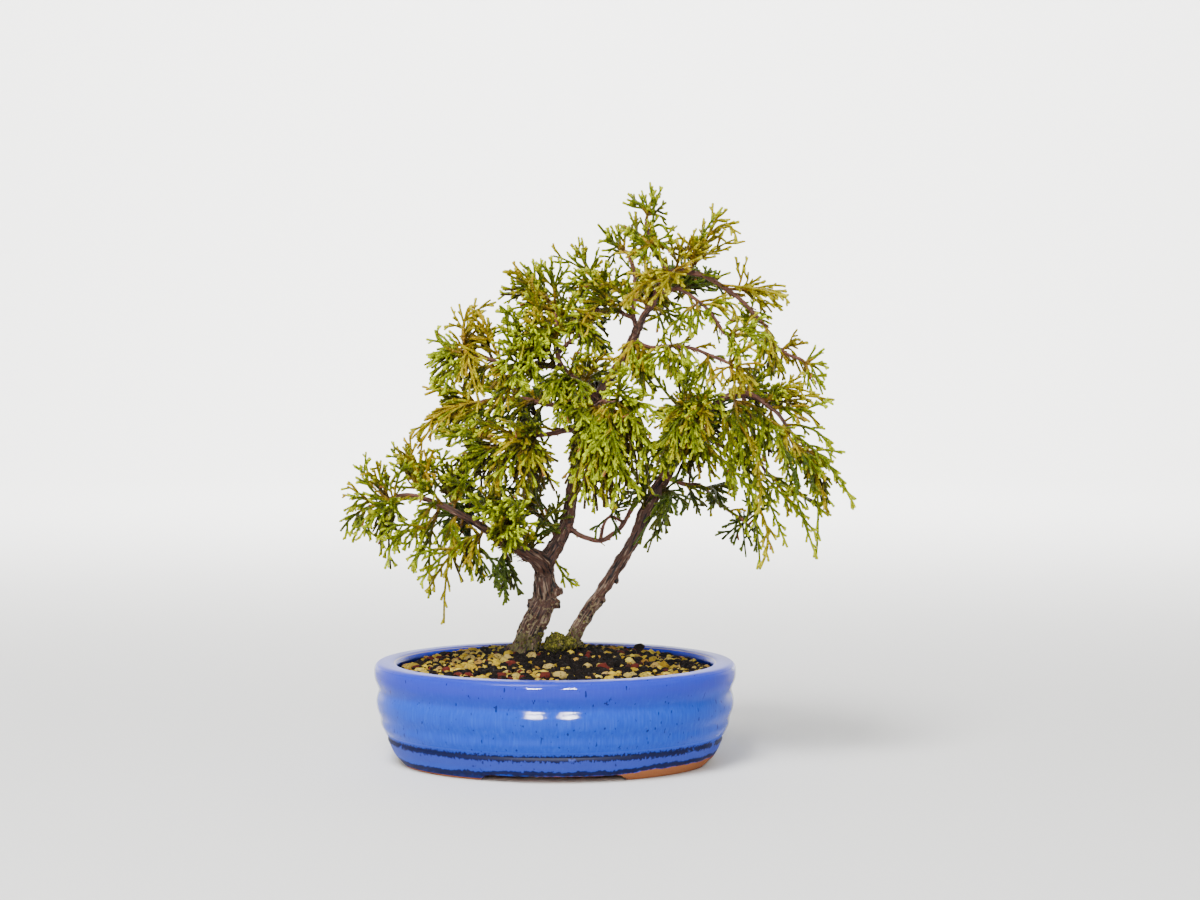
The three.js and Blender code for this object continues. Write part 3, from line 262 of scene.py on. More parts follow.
# Tufts of three threads between the sprays: place on the twig, tip
DRAPES: dict[Leaf, list[tuple[float, ...]]] = {
    GREEN: [
        (43.5, 1, 233, 48, -24, 203), (73, -18, 192, 50, -28, 190), (75, -3, 186, 74, -20, 163),
        (116, -3, 161, 128, -14, 140), (-42, 19, 198, -76, 6, 180), (-28, -21, 220, -38, -30, 247),
        (-5, -14, 219, -15, -22, 249), (-33, -22, 222.5, -42, -6, 243), (2, -9, 226, -12, -16, 262),
        (14, 5, 236, 27, -18, 232), (14, 10, 246, 24, -12, 246), (16, -2, 208, 28, -22, 226),
        (-36, 18, 199.5, -52, 4, 179), (-28, 17, 200, -42, -4, 177), (-27, -16, 176.5, -62, -26, 181),
        (-12, 13, 199, -26, -4, 186), (-22, -14, 178.5, -34, -28, 150), (24, -14, 198, 8, -38, 170),
        (22, -8, 196, 26, -26, 160), (74, 9, 179, 57, -8, 160), (75, -3, 186, 56, -24, 178),
        (75, -3, 186, 66, -30, 166), (-60, -13, 142, -72, -36, 158), (-4, 14, 131, -15, -2, 152),
        (-8, 17, 134, -22, -4, 143), (-20, 0, 118.5, -20, -18, 141), (-39, -8, 130.5, -34, -26, 152),
        (22, -8, 196, 22, -34, 148), (49, -4, 230, 45, -24, 214), (120, 9, 231, 119, -8, 216),
        (36, 10, 248, 16, -4, 268), (29, 17, 253, 26, 2, 272), (24, 22, 260, 12, 2, 263),
        (-5, -14, 219, -10, -32, 222), (-9, -7, 181, -17, -26, 182), (-28, -17, 176, -53, -14, 168),
        (0, -1, 252, 4, -14, 273), (115, -6, 198.5, 124, -22, 208), (118, -7, 196, 134, -20, 194),
        (-23, -20, 218, -30, -32, 212), (-31, -21.5, 221.5, -43, -30, 208), (-52, -11, 138, -62, -22, 121),
        (83, -25, 226, 79, -36, 208), (8, -6, 214, 14, -26, 222), (36, 10, 248, 36, -12, 253),
        (43, 3, 247, 33, -8, 268), (72, -25, 193, 58, -34, 192), (-9, -7, 181, -7, -24, 189),
        (-90, -15, 146, -95, -22, 163),
    ],
    LIME: [
        (73, -18, 192, 78, -30, 170), (118, -7, 196, 113, -18, 168), (-14, -18, 217.5, -20, -20, 240),
        (-14, -18, 217.5, -27, -26, 250), (8, 6, 243, 22, -14, 237), (-42, 19, 198, -64, 6, 186),
        (-20, -12, 179.5, -42, -28, 190), (-14, -17, 217.5, -34, -34, 196), (22, -8, 196, 13, -36, 158),
        (24, -16, 198, 19, -46, 149), (26, -22, 200, 27, -54, 146), (28, -28, 200.5, 23, -58, 162),
        (73, -18, 192, 60, -42, 172), (-64.5, -14, 144.5, -79, -24, 121), (-16, 2, 116, -14, -16, 128),
        (26, -24, 200, 32, -50, 148), (28, -28, 200.5, 16, -52, 155), (43.5, 1, 233, 38, -20, 216),
        (116, 8, 240, 112, -10, 222), (36, 10, 248, 20, -2, 255), (0, -11, 220, -1, -30, 226),
        (80, -18, 252.5, 93, -30, 250), (125, -10, 187, 123, -26, 168), (-45, -24, 226, -59, -28, 208),
        (0, -3, 249, -18, -18, 251), (95, -28, 221, 103, -36, 230),
    ],
    GOLDEN: [
        (66, -4, 271, 68, -18, 284),
    ],
    DARK: [
        (20, 12, 241, 29, -2, 226), (-6, 12, 197.5, -16, 4, 170), (80, 8, 187.5, 66, -14, 158),
        (68.5, 10, 170.5, 50, -6, 172), (72, 20, 152, 80, 32, 138), (84, 30, 149, 96, 26, 150),
        (-12, 20, 136, -8, 4, 160), (-13, 3, 114, -6, -10, 134), (-32, -5, 125.5, -30, -20, 146),
        (48.5, 13, 133.5, 47, -6, 166), (31, 9, 135, 36, -8, 143), (50, 13, 147, 45, -8, 150),
        (2, 9, 121, 3, -8, 141), (84, 30, 149, 92, 10, 142),
    ],
}
# Single threads that show well: root, the place that it bends towards, tip
SINGLES: dict[Leaf, list[tuple[float, ...]]] = {
    GREEN: [
        (121, -16, 191, 149, -20, 175, 163, -23, 143), (127, -26, 180, 128, -30, 154, 142, -33, 116),
        (112, -22, 163, 117, -26, 145, 126, -29, 122), (120, -18, 163, 126, -22, 149, 144, -25, 126),
        (132, -12, 156, 140, -16, 146, 149, -19, 138), (142, -10, 173, 150, -14, 157, 148, -17, 141),
        (87, -10, 179, 102, -14, 171, 118, -17, 146), (131, -10, 190, 146, -14, 188, 151, -17, 172),
        (-62, -32, 128, -78, -36, 123, -76, -39, 110), (-77, -26, 146, -97, -30, 143, -105, -33, 127),
        (-75, -34, 142, -89, -38, 139, -92, -41, 127), (76, -8, 271, 77, -12, 289, 91, -15, 305),
        (50, 4, 286, 55, 0, 304, 54, -3, 314), (52, 4, 303, 47, 0, 309, 42, -3, 308),
        (55, 8, 293, 60, 4, 302, 63, 1, 288), (59, 2, 251, 61, -2, 242, 60, -5, 231),
        (59, 0, 250, 67, -4, 246, 77, -7, 239), (62, -2, 247, 68, -6, 242, 69, -9, 236),
        (53, -22, 200, 64, -26, 217, 68, -29, 222), (52, -18, 198, 50, -22, 213, 52, -25, 228),
        (72, -30, 199, 69, -34, 215, 74, -37, 222), (4, 10, 111, 4, 6, 100, 12, 3, 97),
    ],
    LIME: [
        (85, -26, 176, 101, -30, 162, 110, -33, 146), (83, -18, 179, 93, -22, 165, 99, -25, 152),
        (129, -6, 191, 141, -10, 199, 151, -13, 200), (-70, -30, 135, -91, -34, 133, -89, -37, 112),
        (-59, -26, 126, -67, -30, 114, -72, -33, 102), (38, -58, 201, 54, -62, 181, 45, -65, 167),
        (27, -54, 187, 33, -58, 164, 48, -61, 153), (26, -56, 185, 36, -60, 162, 31, -63, 146),
        (21, -60, 190, 25, -64, 182, 16, -67, 174), (53, -26, 202, 60, -30, 221, 61, -33, 228),
    ],
    GOLDEN: [
        (99, -32, 191, 114, -36, 171, 110, -39, 142), (110, -32, 145, 120, -36, 129, 111, -39, 112),
        (92, -8, 262, 111, -12, 262, 126, -15, 257), (-56, -22, 124, -63, -26, 110, -69, -29, 97),
        (83, -10, 289, 96, -14, 304, 99, -17, 286), (82, -4, 291, 87, -8, 301, 93, -11, 298),
        (85, -16, 260, 99, -20, 260, 99, -23, 240),
    ],
    DARK: [
        (31, 9, 136, 33, 6, 131, 36, 2, 126), (27, 9, 136, 24, 7, 131, 22, 4, 127),
        (126, -30, 180, 130, -34, 165, 131, -37, 151), (136, -20, 180, 141, -24, 166, 140, -27, 153),
        (-49, -10, 118, -37, -14, 110, -42, -17, 102), (-35, -6, 118, -29, -10, 111, -32, -13, 98),
        (-30, -8, 120, -27, -12, 104, -27, -15, 90), (-29, 0, 117, -22, -4, 104, -20, -7, 93),
    ],
}


def to_row(places: Array) -> Array:
    """Turns millimetres from the middle of the pot into metres in the row frame."""
    return np.asarray(places, float) * MM + POT_MIDDLE


def unit(vector: Array) -> Array:
    """Gives vectors their unit length."""
    return vector / np.maximum(np.linalg.norm(vector, axis=-1, keepdims=True), 1e-9)


def stray(dice: Dice, spread: float) -> Array:
    """Draws a small shift in each direction."""
    return np.array([dice.gauss(0, spread) for _ in range(3)])


def linear(code: int) -> Colour:
    """Turns a colour code such as 0xffcc00 into linear red, green and blue."""
    parts = [(code >> shift & 255) / 255 for shift in (16, 8, 0)]
    return tuple(part / 12.92 if part <= 0.04045 else ((part + 0.055) / 1.055) ** 2.4 for part in parts)


def curve_through(stations: list, step: float) -> Array:
    """Lays a smooth curve through stations.

    Args:
        stations: Places, with any further values such as a radius carried along.
        step: Length between the curve's points, in millimetres.

    Returns:
        One row for each point of the curve.
    """
    knots = np.asarray(stations, float)
    knots = np.vstack([2 * knots[0] - knots[1], knots, 2 * knots[-1] - knots[-2]])
    rows = []
    for before, start, end, after in zip(knots, knots[1:], knots[2:], knots[3:]):
        count = max(1, round(np.linalg.norm((end - start)[:3]) / step))
        t = np.arange(count)[:, None] / count
        rows.append(0.5 * (2 * start + (end - before) * t
                           + (2 * before - 5 * start + 4 * end - after) * t ** 2
                           + (3 * start - before - 3 * end + after) * t ** 3))
    return np.vstack([*rows, knots[-2:-1]])


def place_tree(places: list) -> kdtree.KDTree:
    """Sorts places so that the nearest ones are found fast.

    Args:
        places: The places.

    Returns:
        The tree, which gives their numbers in the list.
    """
    tree = kdtree.KDTree(len(places))
    for number, place in enumerate(places):
        tree.insert(place, number)
    tree.balance()
    return tree


def clear_selection() -> None:
    """Leaves edit mode and selects nothing."""
    if bpy.context.object and bpy.context.object.mode != "OBJECT":
        bpy.ops.object.mode_set(mode="OBJECT")
    bpy.ops.object.select_all(action="DESELECT")


def pick(*pieces: Piece) -> None:
    """Selects pieces and nothing else.

    Args:
        *pieces: The pieces, with the one to make active first.
    """
    clear_selection()
    for piece in pieces:
        piece.select_set(True)
    bpy.context.view_layer.objects.active = pieces[0]


def open_new() -> Piece:
    """Opens the piece that was added last, with all of it selected.

    Returns:
        The piece, in edit mode.
    """
    piece = bpy.context.object
    pick(piece)
    bpy.ops.object.mode_set(mode="EDIT")
    bpy.ops.mesh.select_all(action="SELECT")
    return piece


def face_out(inward: bool = False) -> None:
    """Turns all faces of the open piece outward, or inward."""
    bpy.ops.mesh.select_all(action="SELECT")
    bpy.ops.mesh.normals_make_consistent(inside=inward)


def modify(piece: Piece, kind: str, **settings: object) -> None:
    """Adds a modifier to a piece and applies it.

    Args:
        piece: The mesh object.
        kind: The kind of modifier.
        **settings: Values of the modifier's own settings.
    """
    modifier = piece.modifiers.new(kind, kind)
    for name, value in settings.items():
        setattr(modifier, name, value)
    pick(piece)
    bpy.ops.object.modifier_apply(modifier=modifier.name)


def settle(piece: Piece) -> Piece:
    """Moves a piece's place into its mesh, so that its object sits at the origin.

    Args:
        piece: The mesh object.

    Returns:
        The same object.
    """
    pick(piece)
    bpy.ops.object.transform_apply(location=True, rotation=True, scale=True)
    return piece


def draw_up(sides: int, rings: list[tuple[float, float, float]], middle: Array = POT_MIDDLE,
            closed: bool = True) -> Piece:
    """Draws an oval up through rings.

    Args:
        sides: Number of corners of each ring.
        rings: Half length, half width and height of each ring in millimetres, from the bottom.
        middle: The place that it is round, in metres.
        closed: Whether the top is closed and the faces look outward, or it is open and they look in.

    Returns:
        The new object, at the origin.
    """
    centre = middle + (0, 0, rings[0][2] * MM)
    clear_selection()
    bpy.ops.mesh.primitive_circle_add(vertices=sides, radius=MM, fill_type="NGON", location=centre)
    piece = open_new()
    bpy.ops.transform.resize(value=(*rings[0][:2], 1), center_override=centre)
    for (length, width, height), (longer, wider, higher) in zip(rings, rings[1:]):
        lift = (0, 0, (higher - height) * MM)
        bpy.ops.mesh.extrude_region_move(TRANSFORM_OT_translate={"value": lift})
        stretch = (longer / length, wider / width, 1)
        bpy.ops.transform.resize(value=stretch, center_override=middle + (0, 0, higher * MM))
    if not closed:
        bpy.ops.mesh.delete(type="ONLY_FACE")
    face_out(inward=not closed)
    return settle(piece)


def take_shape(piece: Piece) -> tuple[Array, list]:
    """Takes what a piece was modelled for, and clears the piece away.

    Args:
        piece: The mesh object.

    Returns:
        Its corners in its own units, and the corner numbers of each face.
    """
    clear_selection()
    places = np.array([corner.co for corner in piece.data.vertices])
    faces = [list(face.vertices) for face in piece.data.polygons]
    bpy.data.objects.remove(piece)
    return places, faces


def link(name: str, data: bpy.types.ID) -> Piece:
    """Puts a new object with its data into the scene.

    Args:
        name: The object's name.
        data: Its mesh, curve, light or camera.

    Returns:
        The object, at the origin.
    """
    piece = bpy.data.objects.new(name, data)
    bpy.context.scene.collection.objects.link(piece)
    return piece


def mesh_piece(name: str, places: Array, faces: list) -> Piece:
    """Makes a smooth-shaded mesh object.

    Args:
        name: The object's name.
        places: Corners in millimetres from the middle of the pot.
        faces: Corner numbers of each face.

    Returns:
        The new object, at the origin.
    """
    data = bpy.data.meshes.new(name)
    data.from_pydata(to_row(places).tolist(), [], faces)
    data.shade_smooth()
    return link(name, data)


def give_values(piece: Piece, name: str, values: Array) -> None:
    """Stores one number or one vector for each corner of a mesh, for its finish to read.

    Args:
        piece: The mesh object.
        name: What the values are called.
        values: One row or one number for each corner.
    """
    kind, key = ("FLOAT", "value") if values.ndim == 1 else ("FLOAT_VECTOR", "vector")
    layer = piece.data.attributes.new(name, kind, "POINT")
    layer.data.foreach_set(key, values.astype(np.float32).ravel())


def join_copies(name: str, copies: list[tuple[Array, list, float]]) -> Piece:
    """Joins copies of modelled shapes, each with its own mesh, into one piece.

    Args:
        name: The piece's name.
        copies: Corners in millimetres, faces and tone of each copy.

    Returns:
        The piece, with a tone at each corner.
    """
    faces, tones = [], []
    for places, copy_faces, tone in copies:
        first = len(tones)
        faces += [[first + corner for corner in face] for face in copy_faces]
        tones += [tone] * len(places)
    piece = mesh_piece(name, np.vstack([places for places, _, _ in copies]), faces)
    give_values(piece, "tone", np.array(tones))
    return piece


def corners(piece: Piece) -> Array:
    """Reads a mesh's corners.

    Args:
        piece: The mesh object.

    Returns:
        Millimetres from the middle of the pot.
    """
    flat = np.empty(3 * len(piece.data.vertices), np.float32)
    piece.data.vertices.foreach_get("co", flat)
    return (flat.reshape(-1, 3).astype(float) - POT_MIDDLE) / MM


def move_corners(piece: Piece, places: Array) -> None:
    """Puts a mesh's corners at places in millimetres from the middle of the pot."""
    piece.data.vertices.foreach_set("co", to_row(places).astype(np.float32).ravel())
    piece.data.update()


def hand_over(piece: Piece, name: str, material: Material, replaced: Iterable[str] = ()) -> None:
    """Names and dresses a finished piece, and ties it to the frame.

    Args:
        piece: The finished mesh object.
        name: The piece's name.
        material: Its only material.
        replaced: The CAD nodes that it stands for.
    """
    piece.name = piece.data.name = name
    piece.data.materials.clear()
    piece.data.materials.append(material)
    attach(piece, "root")
    if replaced:
        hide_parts(*replaced)
    LOG.info("%s: %d triangles", name, sum(len(face.vertices) - 2 for face in piece.data.polygons))


class Bench:
    """Adds shader nodes to one node tree and joins them up."""

    def __init__(self, tree: bpy.types.NodeTree) -> None:
        """Keeps the tree that the nodes go into."""
        self.tree = tree

    def put(self, socket: Socket, value: object) -> None:
        """Links an output to an input, or gives the input a plain value.

        Args:
            socket: The input.
            value: The output of a node, a number or a colour.
        """
        if isinstance(value, Socket):
            self.tree.links.new(value, socket)
        else:
            is_colour = isinstance(value, tuple) and socket.type == "RGBA"
            socket.default_value = (*value, 1.0) if is_colour else value

    def add(self, kind: str, inputs: dict | None = None, **settings: object) -> Node:
        """Adds a node.

        Args:
            kind: The node's type without its ShaderNode prefix.
            inputs: Values or outputs for its inputs, by name or number.
            **settings: The node's own settings.

        Returns:
            The node.
        """
        node = self.tree.nodes.new("ShaderNode" + kind)
        for name, value in settings.items():
            setattr(node, name, value)
        for name, value in (inputs or {}).items():
            self.put(node.inputs[name], value)
        return node

    def math(self, operation: str, *values: object) -> Socket:
        """Adds a math node on one to three values."""
        return self.add("Math", dict(enumerate(values)), operation=operation).outputs[0]

    def times(self, one: object, other: object) -> Socket:
        """Multiplies two values."""
        return self.math("MULTIPLY", one, other)

    def plus(self, one: object, other: object) -> Socket:
        """Adds two values up."""
        return self.math("ADD", one, other)

    def scaled(self, value: object, factor: object, more: object) -> Socket:
        """Multiplies a value by a factor and adds more to it."""
        return self.math("MULTIPLY_ADD", value, factor, more)

    def rise(self, value: object, low: float, high: float) -> Socket:
        """Goes smoothly from 0 at low to 1 at high, or back down where high is the lower."""
        inputs = {"Value": value, "From Min": low, "From Max": high}
        return self.add("MapRange", inputs, interpolation_type="SMOOTHSTEP").outputs[0]

    def mix(self, share: object, low: object, high: object) -> Socket:
        """Mixes two colours."""
        return self.add("Mix", {0: share, 6: low, 7: high}, data_type="RGBA").outputs[2]

    def ramp(self, value: object, stops: list[tuple[float, Colour]]) -> Socket:
        """Turns a value into a colour.

        Args:
            value: What to turn, from 0 to 1.
            stops: Value and colour of each stop.

        Returns:
            The colour.
        """
        node = self.add("ValToRGB", {"Fac": value})
        for _ in stops[2:]:
            node.color_ramp.elements.new(0.5)
        for element, (place, colour) in zip(node.color_ramp.elements, stops):
            element.position = place
            element.color = (*colour, 1.0)
        return node.outputs[0]

    def noise(self, place: object, scale: float, detail: float) -> Socket:
        """Adds noise with a value from 0 to 1."""
        return self.add("TexNoise", {"Vector": place, "Scale": scale, "Detail": detail}).outputs[0]

    def tall_noise(self, place: object, squash: float, scale: float, detail: float) -> Socket:
        """Adds noise that is drawn out, or pressed, along the third axis."""
        stretched = self.add("Mapping", {"Vector": place, "Scale": (1.0, 1.0, squash)}).outputs[0]
        return self.noise(stretched, scale, detail)

    def attribute(self, name: str, output: str = "Fac") -> Socket:
        """Reads what a mesh stores for each corner."""
        return self.add("Attribute", attribute_name=name).outputs[output]

    def place(self) -> Socket:
        """Gives the place on the piece, in millimetres from the middle of the pot."""
        inputs = {"Location": tuple(-POT_MIDDLE / MM), "Scale": (1 / MM,) * 3}
        return self.add("Mapping", {"Vector": self.add("TexCoord").outputs["Object"], **inputs}).outputs[0]

    def split(self, vector: object) -> list[Socket]:
        """Splits a vector into its three parts."""
        return list(self.add("SeparateXYZ", {0: vector}).outputs)

    def roughcast(self, place: object, grains: float) -> tuple[Socket, Socket]:
        """Adds the shared stony pattern, with so many grains to a millimetre: its mottling and its height."""
        node = self.add("Group", {0: place, 1: grains}, node_tree=ROUGHCAST)
        return node.outputs[0], node.outputs[1]

    def coat(self, colour: object, rough: object, shine: float = 0.5) -> None:
        """Dresses the surface.

        Args:
            colour: Its colour.
            rough: Its roughness.
            shine: Strength of its reflections.
        """
        inputs = self.tree.nodes["Principled BSDF"].inputs
        for name, value in (("Base Color", colour), ("Roughness", rough), ("Specular IOR Level", shine)):
            self.put(inputs[name], value)

    def relief(self, height: object, depth: float) -> None:
        """Gives the surface a bump from a height, with a depth in millimetres."""
        bump = self.add("Bump", {"Height": height, "Distance": depth * MM})
        self.put(self.tree.nodes["Principled BSDF"].inputs["Normal"], bump.outputs[0])


def roughcast_group() -> bpy.types.NodeTree:
    """Builds the shared pattern of grains and pits that stony and woody surfaces have.

    Returns:
        The node group, which gives a mottling mask and a height.
    """
    tree = bpy.data.node_groups.new("roughcast", "ShaderNodeTree")
    for name, way, kind in (("Place", "INPUT", "Vector"), ("Grains per mm", "INPUT", "Float"),
                            ("Mottle", "OUTPUT", "Float"), ("Height", "OUTPUT", "Float")):
        tree.interface.new_socket(name, in_out=way, socket_type="NodeSocket" + kind)
    bench = Bench(tree)
    place, grains = tree.nodes.new("NodeGroupInput").outputs[:2]
    made = tree.nodes.new("NodeGroupOutput")
    mottle = bench.noise(place, grains, 4.0)
    fine = bench.noise(place, bench.times(grains, 3.1), 3.0)
    pits = bench.add("TexVoronoi", {"Vector": place, "Scale": grains}).outputs["Distance"]
    height = bench.plus(bench.times(mottle, 0.6), bench.times(fine, 0.35))
    bench.put(made.inputs[0], mottle)
    bench.put(made.inputs[1], bench.scaled(pits, 0.25, height))
    return tree


ROUGHCAST = roughcast_group()


@dataclass(frozen=True)
class Finish:
    """The look of one kind of surface."""

    name: str

    def material(self) -> Material:
        """Makes the material.

        Returns:
            The material, with the finish laid on it.
        """
        material = bpy.data.materials.new(self.name)
        material.use_nodes = True
        self.paint(Bench(material.node_tree))
        return material

    def paint(self, bench: Bench) -> None:
        """Lays the finish on the surface."""
        raise NotImplementedError


@dataclass(frozen=True)
class GlazeFinish(Finish):
    """Violet-blue glaze, streaked and specked, over terracotta that shows at the feet."""

    rim: Colour = (0.022, 0.036, 0.42)
    body: Colour = (0.012, 0.056, 0.46)
    low: Colour = (0.028, 0.052, 0.36)
    streak: Colour = (0.006, 0.032, 0.33)
    pale: Colour = (0.024, 0.09, 0.55)
    navy: Colour = (0.0005, 0.003, 0.045)
    clay: Colour = (0.34, 0.12, 0.04)
    dark_clay: Colour = (0.15, 0.05, 0.02)
    lip: Colour = (0.5, 0.42, 0.33)
    # Half the length and width of the pot, and heights on its wall, in millimetres
    half_sizes: tuple[float, float] = (100.0, 80.0)
    bands: tuple[float, ...] = (6.0, 10.2, 14.4, 18.0, 39.6, 50.4)
    groove_height: float = 16.4
    edge_height: float = 3.8
    run_over: tuple[float, float] = (-14.0, -8.0)
    relief: float = 0.25

    def paint(self, bench: Bench) -> None:
        """Lays glaze, streaks, specks, the dark groove and the bare feet on the pot.

        Args:
            bench: Where the nodes are added.
        """
        place = bench.place()
        x, y, z = bench.split(place)
        mottle, height = bench.roughcast(place, 0.9)
        above = bench.math("SUBTRACT", z, self.edge(bench, place, x))
        unglazed = bench.times(bench.rise(above, 0.1, -0.15), bench.rise(x, *self.run_over))
        bare = bench.math("MAXIMUM", unglazed, self.underside(bench, x, y, z))
        clay = bench.mix(bench.times(mottle, 0.35), self.clay, self.dark_clay)
        dull = bench.scaled(bench.rise(z, 53.4, 54.8), 0.3, 0.06)
        dull = bench.scaled(bench.rise(z, 18.5, 16.5), 0.5, dull)
        rough = bench.scaled(bare, 0.75, dull)
        bench.coat(bench.mix(bare, self.glaze(bench, place, above), clay), rough, 0.1)
        frayed = bench.tall_noise(place, 1.4, 0.75, 2.0)
        wall = bench.rise(z, 44.0, 41.5)
        flows = bench.times(bench.scaled(wall, 0.06, 0.02), bench.noise(place, 0.42, 3.0))
        flows = bench.scaled(bench.times(frayed, wall), 0.2, flows)
        bench.relief(bench.plus(flows, bench.times(height, bare)), self.relief)

    def glaze(self, bench: Bench, place: object, above: object) -> Socket:
        """Mixes the colours of the glaze.

        Args:
            bench: Where the nodes are added.
            place: The place on the pot.
            above: The height above the glaze's lower edge.

        Returns:
            The colour.
        """
        x, y, z = bench.split(place)
        wander = bench.scaled(bench.noise(place, 0.09, 3.0), 3.0, z)
        top = 60.0
        tints = (self.body, self.low, self.low, self.body, self.body, self.rim)
        colour = bench.ramp(bench.math("DIVIDE", wander, top),
                            [(band / top, tint) for band, tint in zip(self.bands, tints)])
        middle = bench.times(bench.rise(z, 12.0, 24.0), bench.rise(z, 50.0, 34.0))
        middle = bench.scaled(middle, 0.3, 0.12)
        runs = bench.tall_noise(place, 0.09, 0.9, 3.0)
        specks = bench.rise(bench.tall_noise(place, 0.4, 0.55, 1.0), 0.69, 0.75)
        # The inner wall below the rim is darkened towards navy
        hollow = bench.times(bench.rise(self.oval(bench, x, y, 12.0), 1.003, 0.99), bench.rise(z, 54.5, 52.0))
        pooled = bench.scaled(bench.tall_noise(place, 0.3, 0.6, 2.0), -3.0, above)
        for share, tint in (
                (bench.times(bench.rise(runs, 0.45, 0.75), middle), self.streak),
                (bench.times(bench.rise(runs, 0.5, 0.25), middle), self.pale),
                (bench.times(specks, 0.8), self.navy),
                (bench.times(hollow, 0.85), self.navy),
                (self.groove(bench, place, z), self.navy),
                (bench.rise(bench.math("ABSOLUTE", pooled), 1.7, 1.0), self.navy),
                (bench.times(self.thin_lip(bench, x, y, z), 0.5), self.lip)):
            colour = bench.mix(share, colour, tint)
        return colour

    def groove(self, bench: Bench, place: object, z: object) -> Socket:
        """Masks the navy line, combed into short strokes, where thick glaze lies in the groove.

        Args:
            bench: Where the nodes are added.
            place: The place on the pot.
            z: Its height.

        Returns:
            The mask.
        """
        height = bench.math("SUBTRACT", z, self.groove_height)
        shifted = bench.scaled(bench.tall_noise(place, 0.1, 1.1, 2.0), 5.0, height)
        line = bench.rise(bench.math("ABSOLUTE", shifted), 2.0, 1.4)
        return bench.times(line, bench.rise(bench.noise(place, 0.1, 3.0), 0.34, 0.4))

    def edge(self, bench: Bench, place: object, x: object) -> Socket:
        """Finds the wavy edge where the glaze ends in a navy line.

        Args:
            bench: Where the nodes are added.
            place: The place on the pot.
            x: How far it is along the pot.

        Returns:
            The height of the edge.
        """
        wavy = bench.scaled(bench.noise(place, 0.12, 3.0), 3.0, self.edge_height - 1.5)
        wavy = bench.scaled(bench.rise(x, 25.0, 60.0), 1.6, wavy)
        return bench.scaled(bench.rise(x, -20.0, -60.0), -1.8, wavy)

    def thin_lip(self, bench: Bench, x: object, y: object, z: object) -> Socket:
        """Masks the pale line where glaze runs thin on the rim's inner edge."""
        line = bench.math("ABSOLUTE", bench.math("SUBTRACT", self.oval(bench, x, y, 11.4), 1.0))
        return bench.times(bench.rise(line, 0.007, 0.002), bench.rise(z, 53.0, 54.5))

    def underside(self, bench: Bench, x: object, y: object, z: object) -> Socket:
        """Masks the unglazed clay below the pot."""
        within = bench.rise(self.oval(bench, x, y, 14.2), 1.004, 0.996)
        return bench.times(within, bench.rise(z, 9.8, 9.0))

    def oval(self, bench: Bench, x: object, y: object, inset: float) -> Socket:
        """Gives 1 on the oval that lies so far in from the rim, and less inside it."""
        parts = [bench.math("DIVIDE", value, half - inset) for value, half in zip((x, y), self.half_sizes)]
        return bench.math("SQRT", bench.plus(*(bench.math("POWER", part, 2.0) for part in parts)))


@dataclass(frozen=True)
class StoneFinish(Finish):
    """Dry gravel of one kind, each grain with its own tone and painted shade on its lower side."""

    tones: tuple[int, ...]
    rough: float
    pits: float
    mottled: Colour = (0.02, 0.012, 0.008)
    # Colour of the painted shade on each grain's lower side
    shaded: Colour = (0.006, 0.004, 0.003)

    def paint(self, bench: Bench) -> None:
        """Lays the grain's tone, its mottling, painted shade on its lower side and its pits on the stone.

        Args:
            bench: Where the nodes are added.
        """
        share = 1 / (len(self.tones) - 1)
        stops = [(i * share, linear(code)) for i, code in enumerate(self.tones)]
        mottle, height = bench.roughcast(bench.place(), 0.9)
        colour = bench.ramp(bench.attribute("tone"), stops)
        colour = bench.mix(bench.rise(mottle, 0.5, 0.75), colour, self.mottled)
        # Painted shade: the lower side of each grain turns towards the shaded colour
        sunk = bench.times(bench.rise(bench.attribute("rise"), 0.3, -0.35), 0.92)
        bench.coat(bench.mix(sunk, colour, self.shaded), self.rough, 0.06)
        bench.relief(height, self.pits)


